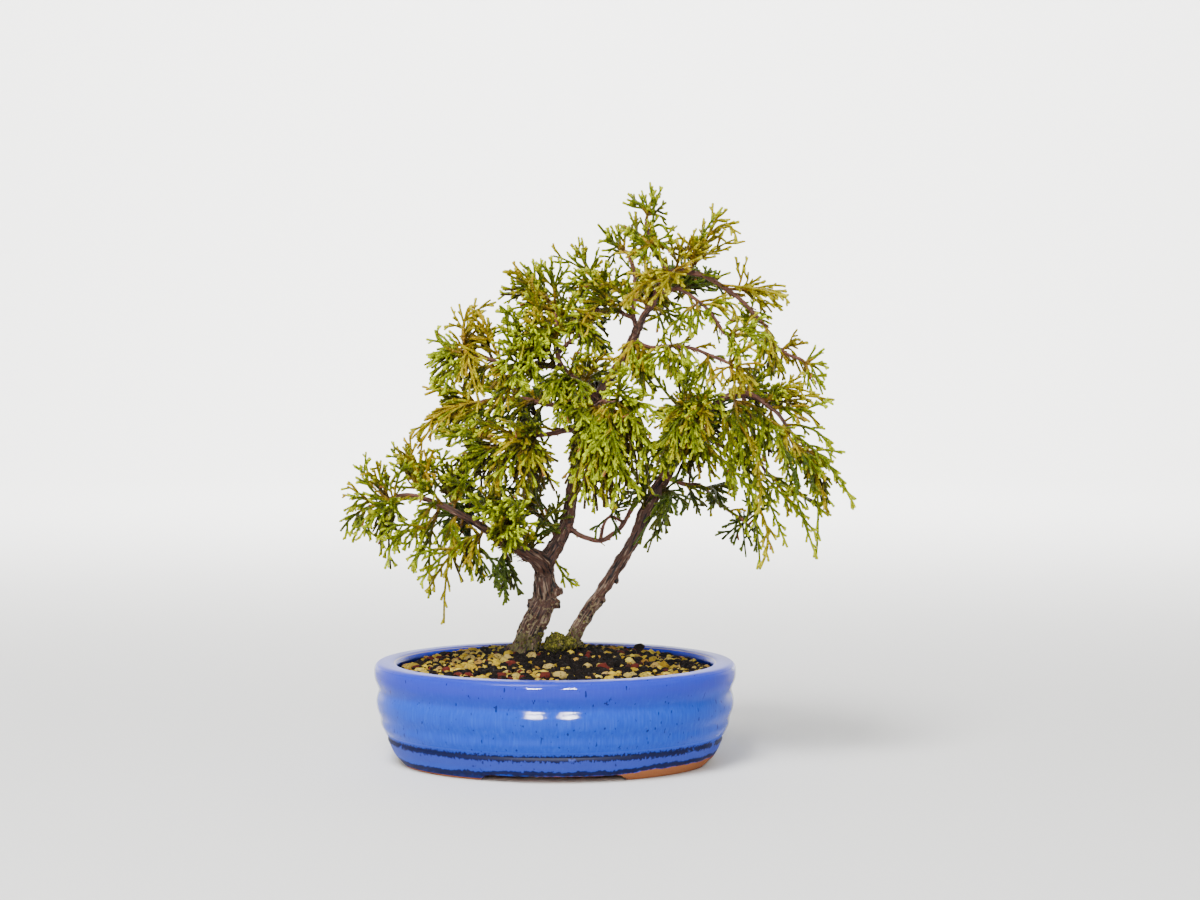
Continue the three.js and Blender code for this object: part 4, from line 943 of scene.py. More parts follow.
@dataclass(frozen=True)
class BarkFinish(Finish):
    """Red-brown bark in fibrous strips, grey and mossy near the soil."""

    # Colour of the fissures between strips, where the bump is lowest: the bark's dark fissures and painted
    # shade in them
    crevice_and_shade: Colour = (0.006, 0.003, 0.002)
    fibre: Colour = (0.088, 0.035, 0.02)
    flake: Colour = (0.36, 0.25, 0.17)
    twig: Colour = (0.16, 0.065, 0.042)
    lichen: Colour = (0.34, 0.27, 0.13)
    moss: Colour = (0.095, 0.085, 0.016)
    # Heights between which bark turns grey and lichen and moss thin out, and radii of twigs
    grey_fade: tuple[float, float] = (130.0, 85.0)
    lichen_fade: tuple[float, float] = (100.0, 72.0)
    moss_fade: tuple[float, float] = (88.0, 76.0)
    twig_fade: tuple[float, float] = (2.2, 1.4)
    relief: float = 1.6

    def paint(self, bench: Bench) -> None:
        """Lays fibres, dark fissures with painted shade in them, flakes, lichen and moss on the bark.

        Args:
            bench: Where the nodes are added.
        """
        along = bench.attribute("bark_place", "Vector")
        z = bench.split(bench.place())[2]
        fibres = bench.tall_noise(along, 0.13, 0.95, 4.0)
        plates = bench.tall_noise(along, 0.3, 0.33, 3.0)
        colour = bench.ramp(fibres, [
            (0.38, self.crevice_and_shade), (0.5, self.fibre), (0.6, self.fibre), (0.72, self.flake)])
        greyed = bench.times(bench.rise(plates, 0.52, 0.66), bench.rise(z, *self.grey_fade))
        greyed = bench.times(greyed, bench.rise(fibres, 0.4, 0.55))
        colour = bench.mix(bench.times(greyed, 0.75), colour, self.flake)
        twigs = bench.mix(bench.rise(fibres, 0.25, 0.5), self.crevice_and_shade, self.twig)
        colour = bench.mix(bench.rise(bench.attribute("bark_radius"), *self.twig_fade), colour, twigs)
        mottle, height = bench.roughcast(along, 0.55)
        spots = bench.times(bench.rise(mottle, 0.53, 0.61), bench.rise(z, *self.lichen_fade))
        colour = bench.mix(bench.times(spots, 0.85), colour, self.lichen)
        damp = bench.scaled(bench.noise(along, 0.22, 3.0), 26.0, z)
        mossy = bench.times(bench.rise(damp, *self.moss_fade), bench.rise(mottle, 0.4, 0.56))
        colour = bench.mix(bench.times(mossy, 0.85), colour, self.moss)
        bench.coat(colour, bench.scaled(fibres, 0.35, 0.5), 0.12)
        bench.relief(bench.plus(fibres, bench.times(height, 0.5)), self.relief)


@dataclass(frozen=True)
class ThreadFinish(Finish):
    """Scale-clad threads of foliage, woody at the root and fresh at the tip."""

    wood: Colour = (0.12, 0.05, 0.02)
    young_wood: Colour = (0.3, 0.18, 0.012)
    leaf: Colour = (0.1, 0.136, 0.001)
    tip: Colour = (0.42, 0.46, 0.004)
    other: Colour = (0.4, 0.245, 0.004)
    dry: Colour = (0.26, 0.1, 0.03)
    shaded: Colour = (0.018, 0.014, 0.002)
    # Colour of the painted shade on threads that other threads keep the light off
    inner: Colour = (0.028, 0.011, 0.001)
    scale_length: float = 1.7
    relief: float = 0.14

    def paint(self, bench: Bench) -> None:
        """Lays the colours of age, tone, scale leaves and shade on the threads.

        Args:
            bench: Where the nodes are added.
        """
        age, tone, length = bench.split(bench.attribute("growth", "Vector"))
        mottle = bench.noise(bench.place(), 0.35, 3.0)
        colour = bench.ramp(age, [(0.0, self.wood), (0.2, self.young_wood), (0.46, self.leaf),
                                  (0.84, self.leaf), (1.0, self.tip)])
        scales = bench.math("SINE", bench.times(length, 2 * math.pi / self.scale_length))
        shade = bench.scaled(scales, -0.1, bench.rise(mottle, 0.62, 0.35))
        for share, tint in (
                (bench.times(bench.rise(tone, 0.48, 0.85), 0.9), self.other),
                (bench.times(bench.rise(tone, 0.955, 0.97), bench.rise(age, 0.5, 0.9)), self.dry),
                (bench.times(shade, 0.42), self.shaded),
                (bench.times(bench.rise(mottle, 0.5, 0.75), 0.3), self.tip),
                # Painted shade: darker where other threads stand between the thread and the light
                (bench.times(bench.rise(bench.attribute("painted_shade"), 0.12, 0.85), 0.92), self.inner)):
            colour = bench.mix(share, colour, tint)
        bench.coat(colour, 0.34, 0.05)
        bench.relief(bench.scaled(mottle, 0.5, scales), self.relief)


@dataclass(frozen=True)
class MossFinish(Finish):
    """Short olive moss."""

    tones: tuple[tuple[float, int], ...] = ((0.0, 0x2a2c0e), (0.6, 0x58561a), (1.0, 0x8c8632))
    mottled: int = 0x2a2c12

    def paint(self, bench: Bench) -> None:
        """Lays greens and a velvety roughness on the moss.

        Args:
            bench: Where the nodes are added.
        """
        mottle, height = bench.roughcast(bench.place(), 0.6)
        colour = bench.ramp(bench.attribute("tone"), [(tone, linear(code)) for tone, code in self.tones])
        bench.coat(bench.mix(bench.rise(mottle, 0.5, 0.7), colour, linear(self.mottled)), 0.95, 0.05)
        bench.relief(height, 0.5)


@dataclass(frozen=True)
class PlainFinish(Finish):
    """Paper or moulded plastic with a faint grain."""

    colour: Colour
    rough: float
    grain: float

    def paint(self, bench: Bench) -> None:
        """Lays the colour and its grain on the surface.

        Args:
            bench: Where the nodes are added.
        """
        grain = bench.noise(bench.place(), 0.8, 3.0)
        bench.coat(bench.mix(grain, self.colour, tuple(0.92 * part for part in self.colour)), self.rough)
        bench.relief(grain, self.grain)


@dataclass
class Studio:
    """Pale round studio with its camera in millimetres, and its soft lights in metres."""

    floor_radius: float = 2000.0
    cove_radius: float = 700.0
    wall_height: float = 2100.0
    camera_place: Place = (24.8, -1481.8, 276.1)
    camera_pitch: float = math.radians(4.0)
    lens: float = 81.0
    sensor: float = 36.0
    sky_colour: tuple[float, ...] = (0.93, 0.96, 1.0, 1.0)
    sky_strength: float = 0.25
    # Name, degrees to the right and above level, width, height, watts, and what it is hidden from
    lamps: tuple = (
        ("top", -28.0, 60.0, 0.7, 0.7, 74.0, "camera"), ("front", -20.0, 38.0, 0.8, 0.8, 20.0, "glossy"),
        ("window_left", -11.3, 14.5, 0.26, 0.36, 130.0, "diffuse"),
        ("window_right", 6.6, 14.5, 0.24, 0.36, 130.0, "diffuse"),
    )
    lamp_aim: Place = (0.0, 0.0, 0.12)
    lamp_distance: float = 2.0
    # Degrees to the right of the lamps over the wall, and their width, height and watts
    wall_azimuths: tuple[float, ...] = (157.0, 180.0, 203.0)
    wall_lamp: tuple[float, float, float] = (1.3, 0.3, 48.0)
    wall_distance: float = 1.35
    wall_lamp_height: float = 1.3
    # How far their backs look towards the tree, and how far up
    wall_tilt: tuple[float, float] = (1.15, 1.1)

    def build(self) -> None:
        """Builds the floor with its rising wall, the lights and the camera."""
        self.build_floor()
        world = bpy.data.worlds.new("soft_sky")
        world.use_nodes = True
        background = world.node_tree.nodes["Background"]
        background.inputs["Color"].default_value = self.sky_colour
        background.inputs["Strength"].default_value = self.sky_strength
        bpy.context.scene.world = world
        for name, azimuth, height, *box, hidden in self.lamps:
            away = self.way(azimuth, height)
            lamp = self.hang(name, Vector(self.lamp_aim) + self.lamp_distance * away, away, *box)
            setattr(lamp, "visible_" + hidden, False)
        for azimuth in self.wall_azimuths:
            out, up = self.way(azimuth, 0.0), Vector((0, 0, 1))
            place = self.wall_distance * out + self.wall_lamp_height * up
            back = self.wall_tilt[1] * up - self.wall_tilt[0] * out
            self.hang(f"wall_light_{azimuth:.0f}", place, back, *self.wall_lamp)
        camera = link("camera", bpy.data.cameras.new("camera"))
        camera.data.lens, camera.data.sensor_width = self.lens, self.sensor
        camera.location = to_row(self.camera_place)
        camera.rotation_euler = (math.pi / 2 - self.camera_pitch, 0, 0)
        bpy.context.scene.camera = camera

    def build_floor(self) -> None:
        """Draws a disc out into a floor whose edge curves up into a low wall."""
        turns = [math.radians(10 * step) for step in range(10)]
        rings = [(self.floor_radius + self.cove_radius * math.sin(turn),
                  self.cove_radius * (1 - math.cos(turn))) for turn in turns]
        rings.append((rings[-1][0], self.wall_height))
        floor = draw_up(96, [(radius, radius, height) for radius, height in rings], np.zeros(3), closed=False)
        floor.data.shade_smooth()
        floor.name = "studio_floor"
        floor.data.materials.append(PlainFinish("pale_paper", (0.78, 0.775, 0.76), 0.9, 0.0).material())

    @staticmethod
    def way(azimuth: float, height: float) -> Vector:
        """Gives the way out from the tree, so many degrees to the right of its front and above level."""
        turn, rise = math.radians(azimuth), math.radians(height)
        return Vector((math.sin(turn) * math.cos(rise), -math.cos(turn) * math.cos(rise), math.sin(rise)))

    @staticmethod
    def hang(name: str, place: Vector, back: Vector, width: float, height: float, power: float) -> Piece:
        """Hangs a soft box.

        Args:
            name: The light's name.
            place: Where it hangs.
            back: The way that its back looks.
            width: Its width in metres.
            height: Its height in metres.
            power: Watts.

        Returns:
            The lamp.
        """
        light = bpy.data.lights.new(name, "AREA")
        light.shape, light.size, light.size_y, light.energy = "RECTANGLE", width, height, power
        lamp = link(name, light)
        lamp.location, lamp.visible_camera = place, False
        lamp.rotation_euler = back.to_track_quat("Z", "Y").to_euler()
        return lamp


@dataclass
class OvalPot:
    """Oval stoneware pot on four low feet, with soft ridges and a groove low on its wall."""

    length: float = 200.0
    width: float = 160.0
    gap_height: float = 3.6
    front_gap: float = 80.0
    end_gap: float = 44.0
    gap_slope: float = 5.0
    drain_radius: float = 7.0
    drain_offset: float = 42.0
    # Height of the middle of the drill, and its length
    drill_height: float = 7.0
    drill_length: float = 30.0
    sides: int = 224
    step: float = 1.1
    # How far in from the widest oval, and how high: the foot, the outside and the rim, the inside
    foot: tuple = ((26, 4.5), (24.2, 4.3), (24, 0.5), (23.5, 0), (15.6, 0))
    outside: tuple = (
        (14.9, 0.3), (13, 2.6), (10.1, 7), (8.1, 11.4), (7.4, 13.2), (7.8, 14.5), (6.9, 15.8), (5.3, 18.2),
        (3.8, 21.5), (3.4, 25.3), (1.6, 30.5), (1.2, 34.6), (1.7, 37.6), (2.5, 40.8), (1.5, 43.8),
        (0.3, 47), (0, 50.8), (0.5, 53.6), (2.6, 55.5), (6, 55.8), (9.5, 55.7), (12, 54.7), (13, 52.2),
        (13.6, 44),
    )
    inside: tuple = ((14.6, 30), (16, 13.5), (19, 10))

    def build(self) -> None:
        """Builds, drains and dresses the pot."""
        outline = [*self.foot, *curve_through(self.outside, self.step).tolist(), *self.inside]
        piece = draw_up(self.sides, [(self.length / 2 - inset, self.width / 2 - inset, height)
                                     for inset, height in outline])
        self.open_feet(piece)
        self.drill(piece)
        pick(piece)
        bpy.ops.object.shade_smooth_by_angle(angle=math.radians(50))
        hand_over(piece, "glazed_pot", GlazeFinish("glaze").material(), ["pot"])

    def open_feet(self, piece: Piece) -> None:
        """Raises the foot ring between the feet at the front, the back and both ends.

        Args:
            piece: The pot.
        """
        places = corners(piece)
        low = places[:, 2] < self.gap_height
        at_end = np.abs(places[:, 0]) > self.length / 4
        across = np.where(at_end, np.abs(places[:, 1]), np.abs(places[:, 0]))
        half = np.where(at_end, self.end_gap, self.front_gap) / 2
        share = np.clip((half - across) / self.gap_slope, 0, 1)
        lift = self.gap_height * share * share * (3 - 2 * share)
        places[:, 2] = np.where(low, np.maximum(places[:, 2], lift), places[:, 2])
        move_corners(piece, places)

    def drill(self, piece: Piece) -> None:
        """Cuts the two drain holes through the floor.

        Args:
            piece: The pot.
        """
        for x in (-self.drain_offset, self.drain_offset):
            clear_selection()
            bpy.ops.mesh.primitive_cylinder_add(
                vertices=40, radius=self.drain_radius * MM, depth=self.drill_length * MM,
                location=to_row((x, 0, self.drill_height)))
            drill = bpy.context.object
            modify(piece, "BOOLEAN", object=drill, operation="DIFFERENCE", solver="EXACT")
            bpy.data.objects.remove(drill)


class Grit(Enum):
    """Kinds of grain in the soil, each with its finish."""

    PUMICE = StoneFinish("pumice", (0xd0b84c, 0xb89c2a, 0x8e7012, 0x9e8a34, 0xa08a4a), 0.9, 0.4)
    CLAY = StoneFinish("baked_clay", (0x8a6420, 0xa88a48, 0x74500e), 0.85, 0.2)
    LAVA = StoneFinish("red_lava", (0x45160f, 0x581f17, 0x321410), 0.95, 0.6)
    HUMUS = StoneFinish("humus", (0x060403, 0x0c0705, 0x150d08, 0x080504), 0.9, 0.5)


PUMICE, CLAY, LAVA, HUMUS = Grit


@dataclass
class Gravel:
    """Loose gravel in the pot: a dark bed and grains of four kinds on it."""

    edge_height: float = 52.3
    end_drop: float = 3.0
    mound: float = 6.0
    mound_reach: float = 50.0
    roots: tuple[float, float] = (-5.0, 17.0)
    half_length: float = 86.0
    half_width: float = 66.0
    # Half length, half width and height of the bed's underside, and the height it is drawn up to
    bed_foot: tuple[float, float, float] = (80.4, 60.4, 10.6)
    bed_top: float = 50.0
    bed_rings: int = 34
    bed_depth: float = 1.4
    seed: int = 7
    shape_count: int = 6
    pitch: float = 4.3
    crumbs: int = 1100
    # Share of dark grains, how much more where they gather, and how much it changes from place to place
    dark_share: float = 0.58
    more_dark: float = 0.32
    patchiness: float = 0.45
    # Where dark grains gather: x, y, reach along and across the pot
    dark_patch: tuple[float, ...] = (12.0, -10.0, 32.0, 34.0)
    # Share of pumice among the other grains, and of pumice and clay together
    pumice_share: float = 0.74
    pale_share: float = 0.88
    # Radii of the grains and of the crumbs, and how high their middles lie over the soil's level
    grain_sizes: tuple = ((1.6, 3.1), (-0.9, 0.5))
    crumb_sizes: tuple = ((0.8, 1.6), (0.4, 1.3))
    # Larger grains that show well: x, y, radius, kind and tone
    showing: tuple = (
        (-79, 4, 3.0, PUMICE, 0.6), (-70.6, 22, 2.9, LAVA, 0.4), (-59, -21.6, 3.0, LAVA, 0.5),
        (-4.5, -50, 3.6, LAVA, 0.35), (3, -50, 3.9, PUMICE, 1.0), (48, 58, 3.9, HUMUS, 0.7),
        (-28, -46, 3.0, LAVA, 0.6), (49, -42, 3.2, PUMICE, 0.7), (39.8, -44, 3.0, PUMICE, 0.9),
        (41, 0, 3.0, PUMICE, 0.0), (60, -4, 3.2, PUMICE, 0.5), (-20, -52, 3.3, PUMICE, 0.9),
        (-47, 8, 2.9, PUMICE, 1.0), (30, -58, 3.4, PUMICE, 0.3), (44, -16, 3.0, LAVA, 0.3),
        (-13, -4, 3.6, PUMICE, 1.0), (-26, -4, 3.2, PUMICE, 1.0), (-16, -50, 3.2, HUMUS, 1.0),
        (-3, -28, 3.2, PUMICE, 1.0), (-38, -53, 3.2, PUMICE, 0.3), (18, -22, 2.8, PUMICE, 1.0),
    )
    shapes: list = field(default_factory=list)

    def build(self) -> None:
        """Builds the bed, strews the grains and dresses them."""
        dice = Dice(self.seed)
        self.build_bed()
        self.shapes = [self.model_grain(seed) for seed in range(self.shape_count)]
        heaps: dict[Grit, list] = {kind: [] for kind in Grit}
        for x, y, radius, kind, tone in self.showing:
            heaps[kind].append(self.place_grain(x, y, radius, 0.25 * radius, tone, dice))
        for places, (radii, lifts) in ((self.spread(dice), self.grain_sizes),
                                       (self.strew(dice), self.crumb_sizes)):
            for x, y in places:
                radius = dice.uniform(*radii)
                kind = self.kind_at(x, y, dice)
                lift = dice.uniform(*lifts)
                heaps[kind].append(self.place_grain(x, y, radius, lift, dice.random(), dice))
        for kind, grains in heaps.items():
            self.pile_up(kind, grains)

    def level(self, x: Array, y: Array) -> Array:
        """Gives the height of the soil, lower at the ends and raised round the trunks."""
        away = ((x - self.roots[0]) ** 2 + (y - self.roots[1]) ** 2) / self.mound_reach ** 2
        return self.edge_height - self.end_drop * (x / 100) ** 2 + self.mound * np.exp(-away)

    def build_bed(self) -> None:
        """Draws an oval up from the pot's floor and insets its top into rings that follow the mound."""
        shares = [ring / self.bed_rings for ring in range(self.bed_rings, 0, -1)]
        bed = draw_up(120, [self.bed_foot, *((self.half_length * share, self.half_width * share, self.bed_top)
                                             for share in shares)])
        places = corners(bed)
        for place in places:
            if place[2] > self.bed_top - 1:
                lumps = 1.1 * noise.noise(Vector(place) * 0.45) + 0.7 * noise.noise(Vector(place) * 1.1)
                place[2] = self.level(place[0], place[1]) - self.bed_depth + lumps
        move_corners(bed, places)
        bed.data.shade_smooth()
        give_values(bed, "tone", np.full(len(places), 0.35))
        give_values(bed, "rise", np.zeros(len(places)))
        hand_over(bed, "soil_bed", HUMUS.value.material(), ["soil"])

    @staticmethod
    def model_grain(seed: int) -> tuple[Array, list]:
        """Models one grain about a unit in radius: a cube, divided, rounded and knocked about.

        Args:
            seed: Number of the random draw that knocks it about.

        Returns:
            Its corners and its faces.
        """
        clear_selection()
        bpy.ops.mesh.primitive_cube_add(size=1.5, location=(0, 0, 0))
        grain = open_new()
        bpy.ops.mesh.subdivide(number_cuts=1)
        bpy.ops.transform.tosphere(value=0.95)
        bpy.ops.transform.vertex_random(offset=0.13, uniform=1.0, seed=seed)
        face_out()
        return take_shape(grain)

    def place_grain(self, x: float, y: float, radius: float, lift: float, tone: float,
                    dice: Dice) -> tuple[Array, list, float]:
        """Turns and stretches a grain at random and lays it on the soil.

        Args:
            x: Place along the pot.
            y: Place across the pot.
            radius: The grain's mean radius.
            lift: Height of its middle above the soil's level.
            tone: Where its colour lies among those of its kind, from 0 to 1.
            dice: Source of the random draws.

        Returns:
            Its corners, its faces and its tone.
        """
        places, faces = dice.choice(self.shapes)
        stretch = np.array([dice.uniform(0.95, 1.25), dice.uniform(0.8, 1.05), dice.uniform(0.7, 0.95)])
        way = Vector((dice.gauss(0, 1), dice.gauss(0, 1), dice.gauss(0, 1)))
        turn = np.array(way.to_track_quat("Z", "Y").to_matrix())
        return (places * stretch * radius) @ turn.T + (x, y, float(self.level(x, y)) + lift), faces, tone

    def spread(self, dice: Dice) -> Iterator[tuple[float, float]]:
        """Goes over the soil in staggered rows, shifted a little and with some gaps.

        Args:
            dice: Source of the random draws.

        Yields:
            Places for grains.
        """
        row = 0
        y = -self.half_width
        while y < self.half_width:
            x = -self.half_length + (row % 2) * self.pitch / 2
            while x < self.half_length:
                place = x + dice.uniform(-1.4, 1.4), y + dice.uniform(-1.4, 1.4)
                if dice.random() > 0.1 and self.holds(*place, 2.2):
                    yield place
                x += self.pitch
            y += self.pitch * 0.87
            row += 1

    def strew(self, dice: Dice) -> Iterator[tuple[float, float]]:
        """Picks places for small crumbs.

        Args:
            dice: Source of the random draws.

        Yields:
            The places.
        """
        for _ in range(self.crumbs):
            x, y = (dice.uniform(-half, half) for half in (self.half_length, self.half_width))
            if self.holds(x, y, 1.2):
                yield x, y

    def holds(self, x: float, y: float, margin: float) -> bool:
        """Tells whether a place lies on the soil, so far inside the pot's wall."""
        return math.hypot(x / (self.half_length - margin), y / (self.half_width - margin)) < 1

    def kind_at(self, x: float, y: float, dice: Dice) -> Grit:
        """Draws a kind of grain, mostly dark in front of the trunks and pale elsewhere.

        Args:
            x: Place along the pot.
            y: Place across the pot.
            dice: Source of the random draw.

        Returns:
            The kind.
        """
        middle_x, middle_y, length, width = self.dark_patch
        patch = math.exp(-((x - middle_x) / length) ** 2 - ((y - middle_y) / width) ** 2)
        dark = self.dark_share + self.more_dark * patch
        dark += self.patchiness * noise.noise(Vector((x, y, 3)) * 0.08)
        draw = dice.random()
        if draw < dark:
            return HUMUS
        share = (draw - dark) / (1 - dark)
        return PUMICE if share < self.pumice_share else CLAY if share < self.pale_share else LAVA

    @staticmethod
    def pile_up(kind: Grit, grains: list[tuple[Array, list, float]]) -> None:
        """Joins all grains of one kind into a piece, with each corner's height in its grain for the painted
        shade on its lower side.

        Args:
            kind: The kind.
            grains: Corners, faces and tone of each grain.
        """
        name = kind.value.name
        piece = join_copies(name, grains)
        # Height of each corner within its grain, for the painted shade on its lower side
        above = [places[:, 2] - places[:, 2].mean() for places, _, _ in grains]
        give_values(piece, "rise", np.concatenate([heights / heights.max() for heights in above]))
        hand_over(piece, "grains_" + name, kind.value.material())


@dataclass
class Course:
    """Fine points along all limbs, each with the directions across the limb there."""

    step: float = 1.5
    first_across: Place = (0.3, 1.0, 0.1)
    points: list = field(default_factory=list)

    def follow(self, stations: list[Station]) -> None:
        """Adds the points of one limb.

        Args:
            stations: The limb's stations.
        """
        rows = curve_through(stations, self.step)
        ahead = unit(np.gradient(rows[:, :3], axis=0))
        across = np.array(self.first_across)
        run = 37.0 * len(self.points)
        for i, row in enumerate(rows):
            across = unit(across - ahead[i] * across.dot(ahead[i]))
            run += np.linalg.norm(row[:3] - rows[max(i - 1, 0), :3])
            self.points.append((row[:3], ahead[i], across, np.cross(ahead[i], across), run, row[3]))

    def locate(self, places: Array) -> tuple[Array, Array, Array]:
        """Finds where places lie on the limbs.

        Args:
            places: Places on or near the bark.

        Returns:
            Places across and along the limb, the way out of the limb, and the limb's radius there.
        """
        tree = place_tree([point[0] for point in self.points])
        nearest = [tree.find(place)[1] for place in places]
        middle, ahead, across, over, run, radius = (
            np.array([self.points[number][part] for number in nearest]) for part in range(6))
        offset = places - middle
        along = (offset * ahead).sum(1)
        outward = unit(offset - ahead * along[:, None])
        on_limb = np.stack([(offset * across).sum(1), (offset * over).sum(1), run + along], axis=1)
        return on_limb, outward, radius


@dataclass
class TreeWood:
    """Trunks, boughs and twigs with their bark, burls and roots."""

    voxel: float = 0.6
    tube_step: float = 2.5
    # The block under the soil: x, y, z, half length, half width and depth
    root_block: tuple[float, ...] = (-5.0, 17.0, 40.5, 24.0, 13.0, 21.0)
    # Strips, lumps and flakes: their breadth across and along the limb, and their height
    strips: tuple[float, float, float] = (1.7, 11.0, 1.5)
    lumps: tuple[float, float, float] = (4.5, 5.5, 1.2)
    flakes: tuple[float, float, float] = (1.1, 2.6, 0.6)
    sunk: float = 0.3
    # Radii of the limb between which the relief grows from its least share to its full height
    relief_radii: tuple[float, float] = (0.9, 4.9)
    least_relief: float = 0.04

    def build(self) -> Array:
        """Builds and dresses the wood.

        Returns:
            The wood's corners, for what grows on the bark.
        """
        trunks = self.tubes("trunks", [MAIN_TRUNK, SECOND_TRUNK, *BOUGHS.values()], 4)
        pick(trunks, *[self.burl(*burl) for burl in BURLS])
        bpy.ops.object.join()
        modify(trunks, "REMESH", mode="VOXEL", voxel_size=self.voxel * MM, use_smooth_shade=True)
        modify(trunks, "SMOOTH", factor=0.5, iterations=2)
        twigs = self.tubes("twigs", list(BRANCHES.values()), 2)
        pick(trunks, twigs, self.roots())
        bpy.ops.object.join()
        wood = settle(trunks)
        course = Course()
        for stations in ROUTES:
            course.follow(stations)
        places = corners(wood)
        on_limb, outward, radius = course.locate(places)
        places = places + outward * self.relief(on_limb, radius)[:, None]
        move_corners(wood, places)
        wood.data.shade_smooth()
        give_values(wood, "bark_place", on_limb)
        give_values(wood, "bark_radius", radius)
        hand_over(wood, "bark_and_wood", BarkFinish("bark").material(), ["tree_wood"])
        return places

    def tubes(self, name: str, routes: list[list[Station]], bevel: int) -> Piece:
        """Makes closed tubes along routes, with the radius of each station.

        Args:
            name: Name of the object.
            routes: Stations of each tube.
            bevel: Detail of the round section: 2 gives 8 sides.

        Returns:
            One mesh object with all the tubes.
        """
        curve = bpy.data.curves.new(name, "CURVE")
        curve.dimensions, curve.bevel_depth = "3D", MM
        curve.bevel_resolution, curve.use_fill_caps = bevel, True
        for stations in routes:
            rows = curve_through(stations, self.tube_step)
            line = curve.splines.new("POLY")
            line.points.add(len(rows) - 1)
            line.points.foreach_set("co", np.c_[to_row(rows[:, :3]), np.ones(len(rows))].ravel())
            line.points.foreach_set("radius", rows[:, 3])
        pick(link(name, curve))
        bpy.ops.object.convert(target="MESH")
        return bpy.context.object

    @staticmethod
    def burl(x: float, y: float, z: float, radius: float, flat: float) -> Piece:
        """Makes a lump of bark, knocked about so that it isn't round.

        Args:
            x: Place along the pot.
            y: Place across the pot.
            z: Height of its middle.
            radius: Its radius.
            flat: Its height as a share of its breadth.

        Returns:
            The lump.
        """
        clear_selection()
        bpy.ops.mesh.primitive_ico_sphere_add(
            subdivisions=2, radius=radius * MM, location=to_row((x, y, z)), scale=(1, 1, flat))
        lump = open_new()
        bpy.ops.transform.vertex_random(offset=0.2 * radius * MM, uniform=1.0, seed=int(10 * radius))
        return settle(lump)

    def roots(self) -> Piece:
        """Makes the block of roots that joins both trunks under the soil.

        Returns:
            The block.
        """
        clear_selection()
        bpy.ops.mesh.primitive_cylinder_add(
            vertices=24, radius=1, depth=1, location=to_row(self.root_block[:3]),
            scale=[size * MM for size in self.root_block[3:]])
        block = bpy.context.object
        modify(block, "BEVEL", width=3 * MM, segments=3)
        return settle(block)

    def relief(self, on_limb: Array, radius: Array) -> Array:
        """Gives how far the bark stands out: strips along thick limbs, with lumps and flakes.

        Args:
            on_limb: Places across and along the limb.
            radius: The limb's radius at each place.

        Returns:
            The height of the bark at each place.
        """
        heights = np.empty(len(on_limb))
        for i, (u, w, along) in enumerate(on_limb):
            strip, lump, flake = (height * noise.noise(Vector((u / breadth, w / breadth, along / length)))
                                  for breadth, length, height in (self.strips, self.lumps, self.flakes))
            heights[i] = abs(strip) + lump + flake - self.sunk
        thin, full = self.relief_radii
        return heights * np.clip((radius - thin) / (full - thin), self.least_relief, 1.0)


class Room:
    """What is already taken: thick lines between two places, each with the piece that it is in."""

    def __init__(self) -> None:
        """Starts with nothing taken."""
        self.lines = np.empty((0, 7))
        self.owners: list[str] = []

    def claim(self, owner: str, lines: Array) -> None:
        """Takes lines, each with its two ends and its radius, for a piece."""
        self.lines = np.vstack([self.lines, lines])
        self.owners += [owner] * len(lines)

    def air(self, lines: Array, own: str | None = None, others: bool = True) -> Array:
        """Measures the least air between each line and what is taken.

        Args:
            lines: Ends and radius of each line.
            own: The piece that the lines are in.
            others: Whether to measure to the other pieces, or to the piece's own lines.

        Returns:
            The least air of each line.
        """
        mine = np.array([owner == own for owner in self.owners])
        taken = self.lines[~mine if others else mine]
        if not len(taken):
            return np.full(len(lines), np.inf)
        a, b, c, d = lines[:, None, :3], lines[:, None, 3:6], taken[None, :, :3], taken[None, :, 3:6]
        one, two, apart = b - a, d - c, a - c
        aa, ab, bb = (one * one).sum(2) + 1e-9, (one * two).sum(2), (two * two).sum(2) + 1e-9
        ac, bc = (one * apart).sum(2), (two * apart).sum(2)
        cross = aa * bb - ab * ab
        s = np.where(cross > 1e-9, np.clip((ab * bc - ac * bb) / np.where(cross > 1e-9, cross, 1), 0, 1), 0)
        t = np.clip((ab * s + bc) / bb, 0, 1)
        s = np.clip((ab * t - ac) / aa, 0, 1)
        gaps = np.linalg.norm(apart + one * s[..., None] - two * t[..., None], axis=2)
        return (gaps - lines[:, None, 6] - taken[None, :, 6]).min(1)


@dataclass
class Thread:
    """One thread: an arched line from its root to its tip, in millimetres."""

    root: Array
    crown: Array
    tip: Array
    thick: float
    thin: float
    old: float
    young: float
    tone: float
    # Share of painted shade, from the threads between it and the light
    painted_shade: float = 0.0

    def at(self, t: float) -> Array:
        """Gives the place at a share of the way to the tip."""
        return (1 - t) ** 2 * self.root + 2 * t * (1 - t) * self.crown + t * t * self.tip

    def ahead(self, t: float) -> Array:
        """Gives the direction at a share of the way to the tip."""
        return unit((1 - t) * (self.crown - self.root) + t * (self.tip - self.crown))

    def length(self) -> float:
        """Measures along the thread, closely enough to share it out.

        Returns:
            The length.
        """
        chord = np.linalg.norm(self.tip - self.root)
        way = np.linalg.norm(self.crown - self.root) + np.linalg.norm(self.tip - self.crown)
        return float((2 * chord + way) / 3)


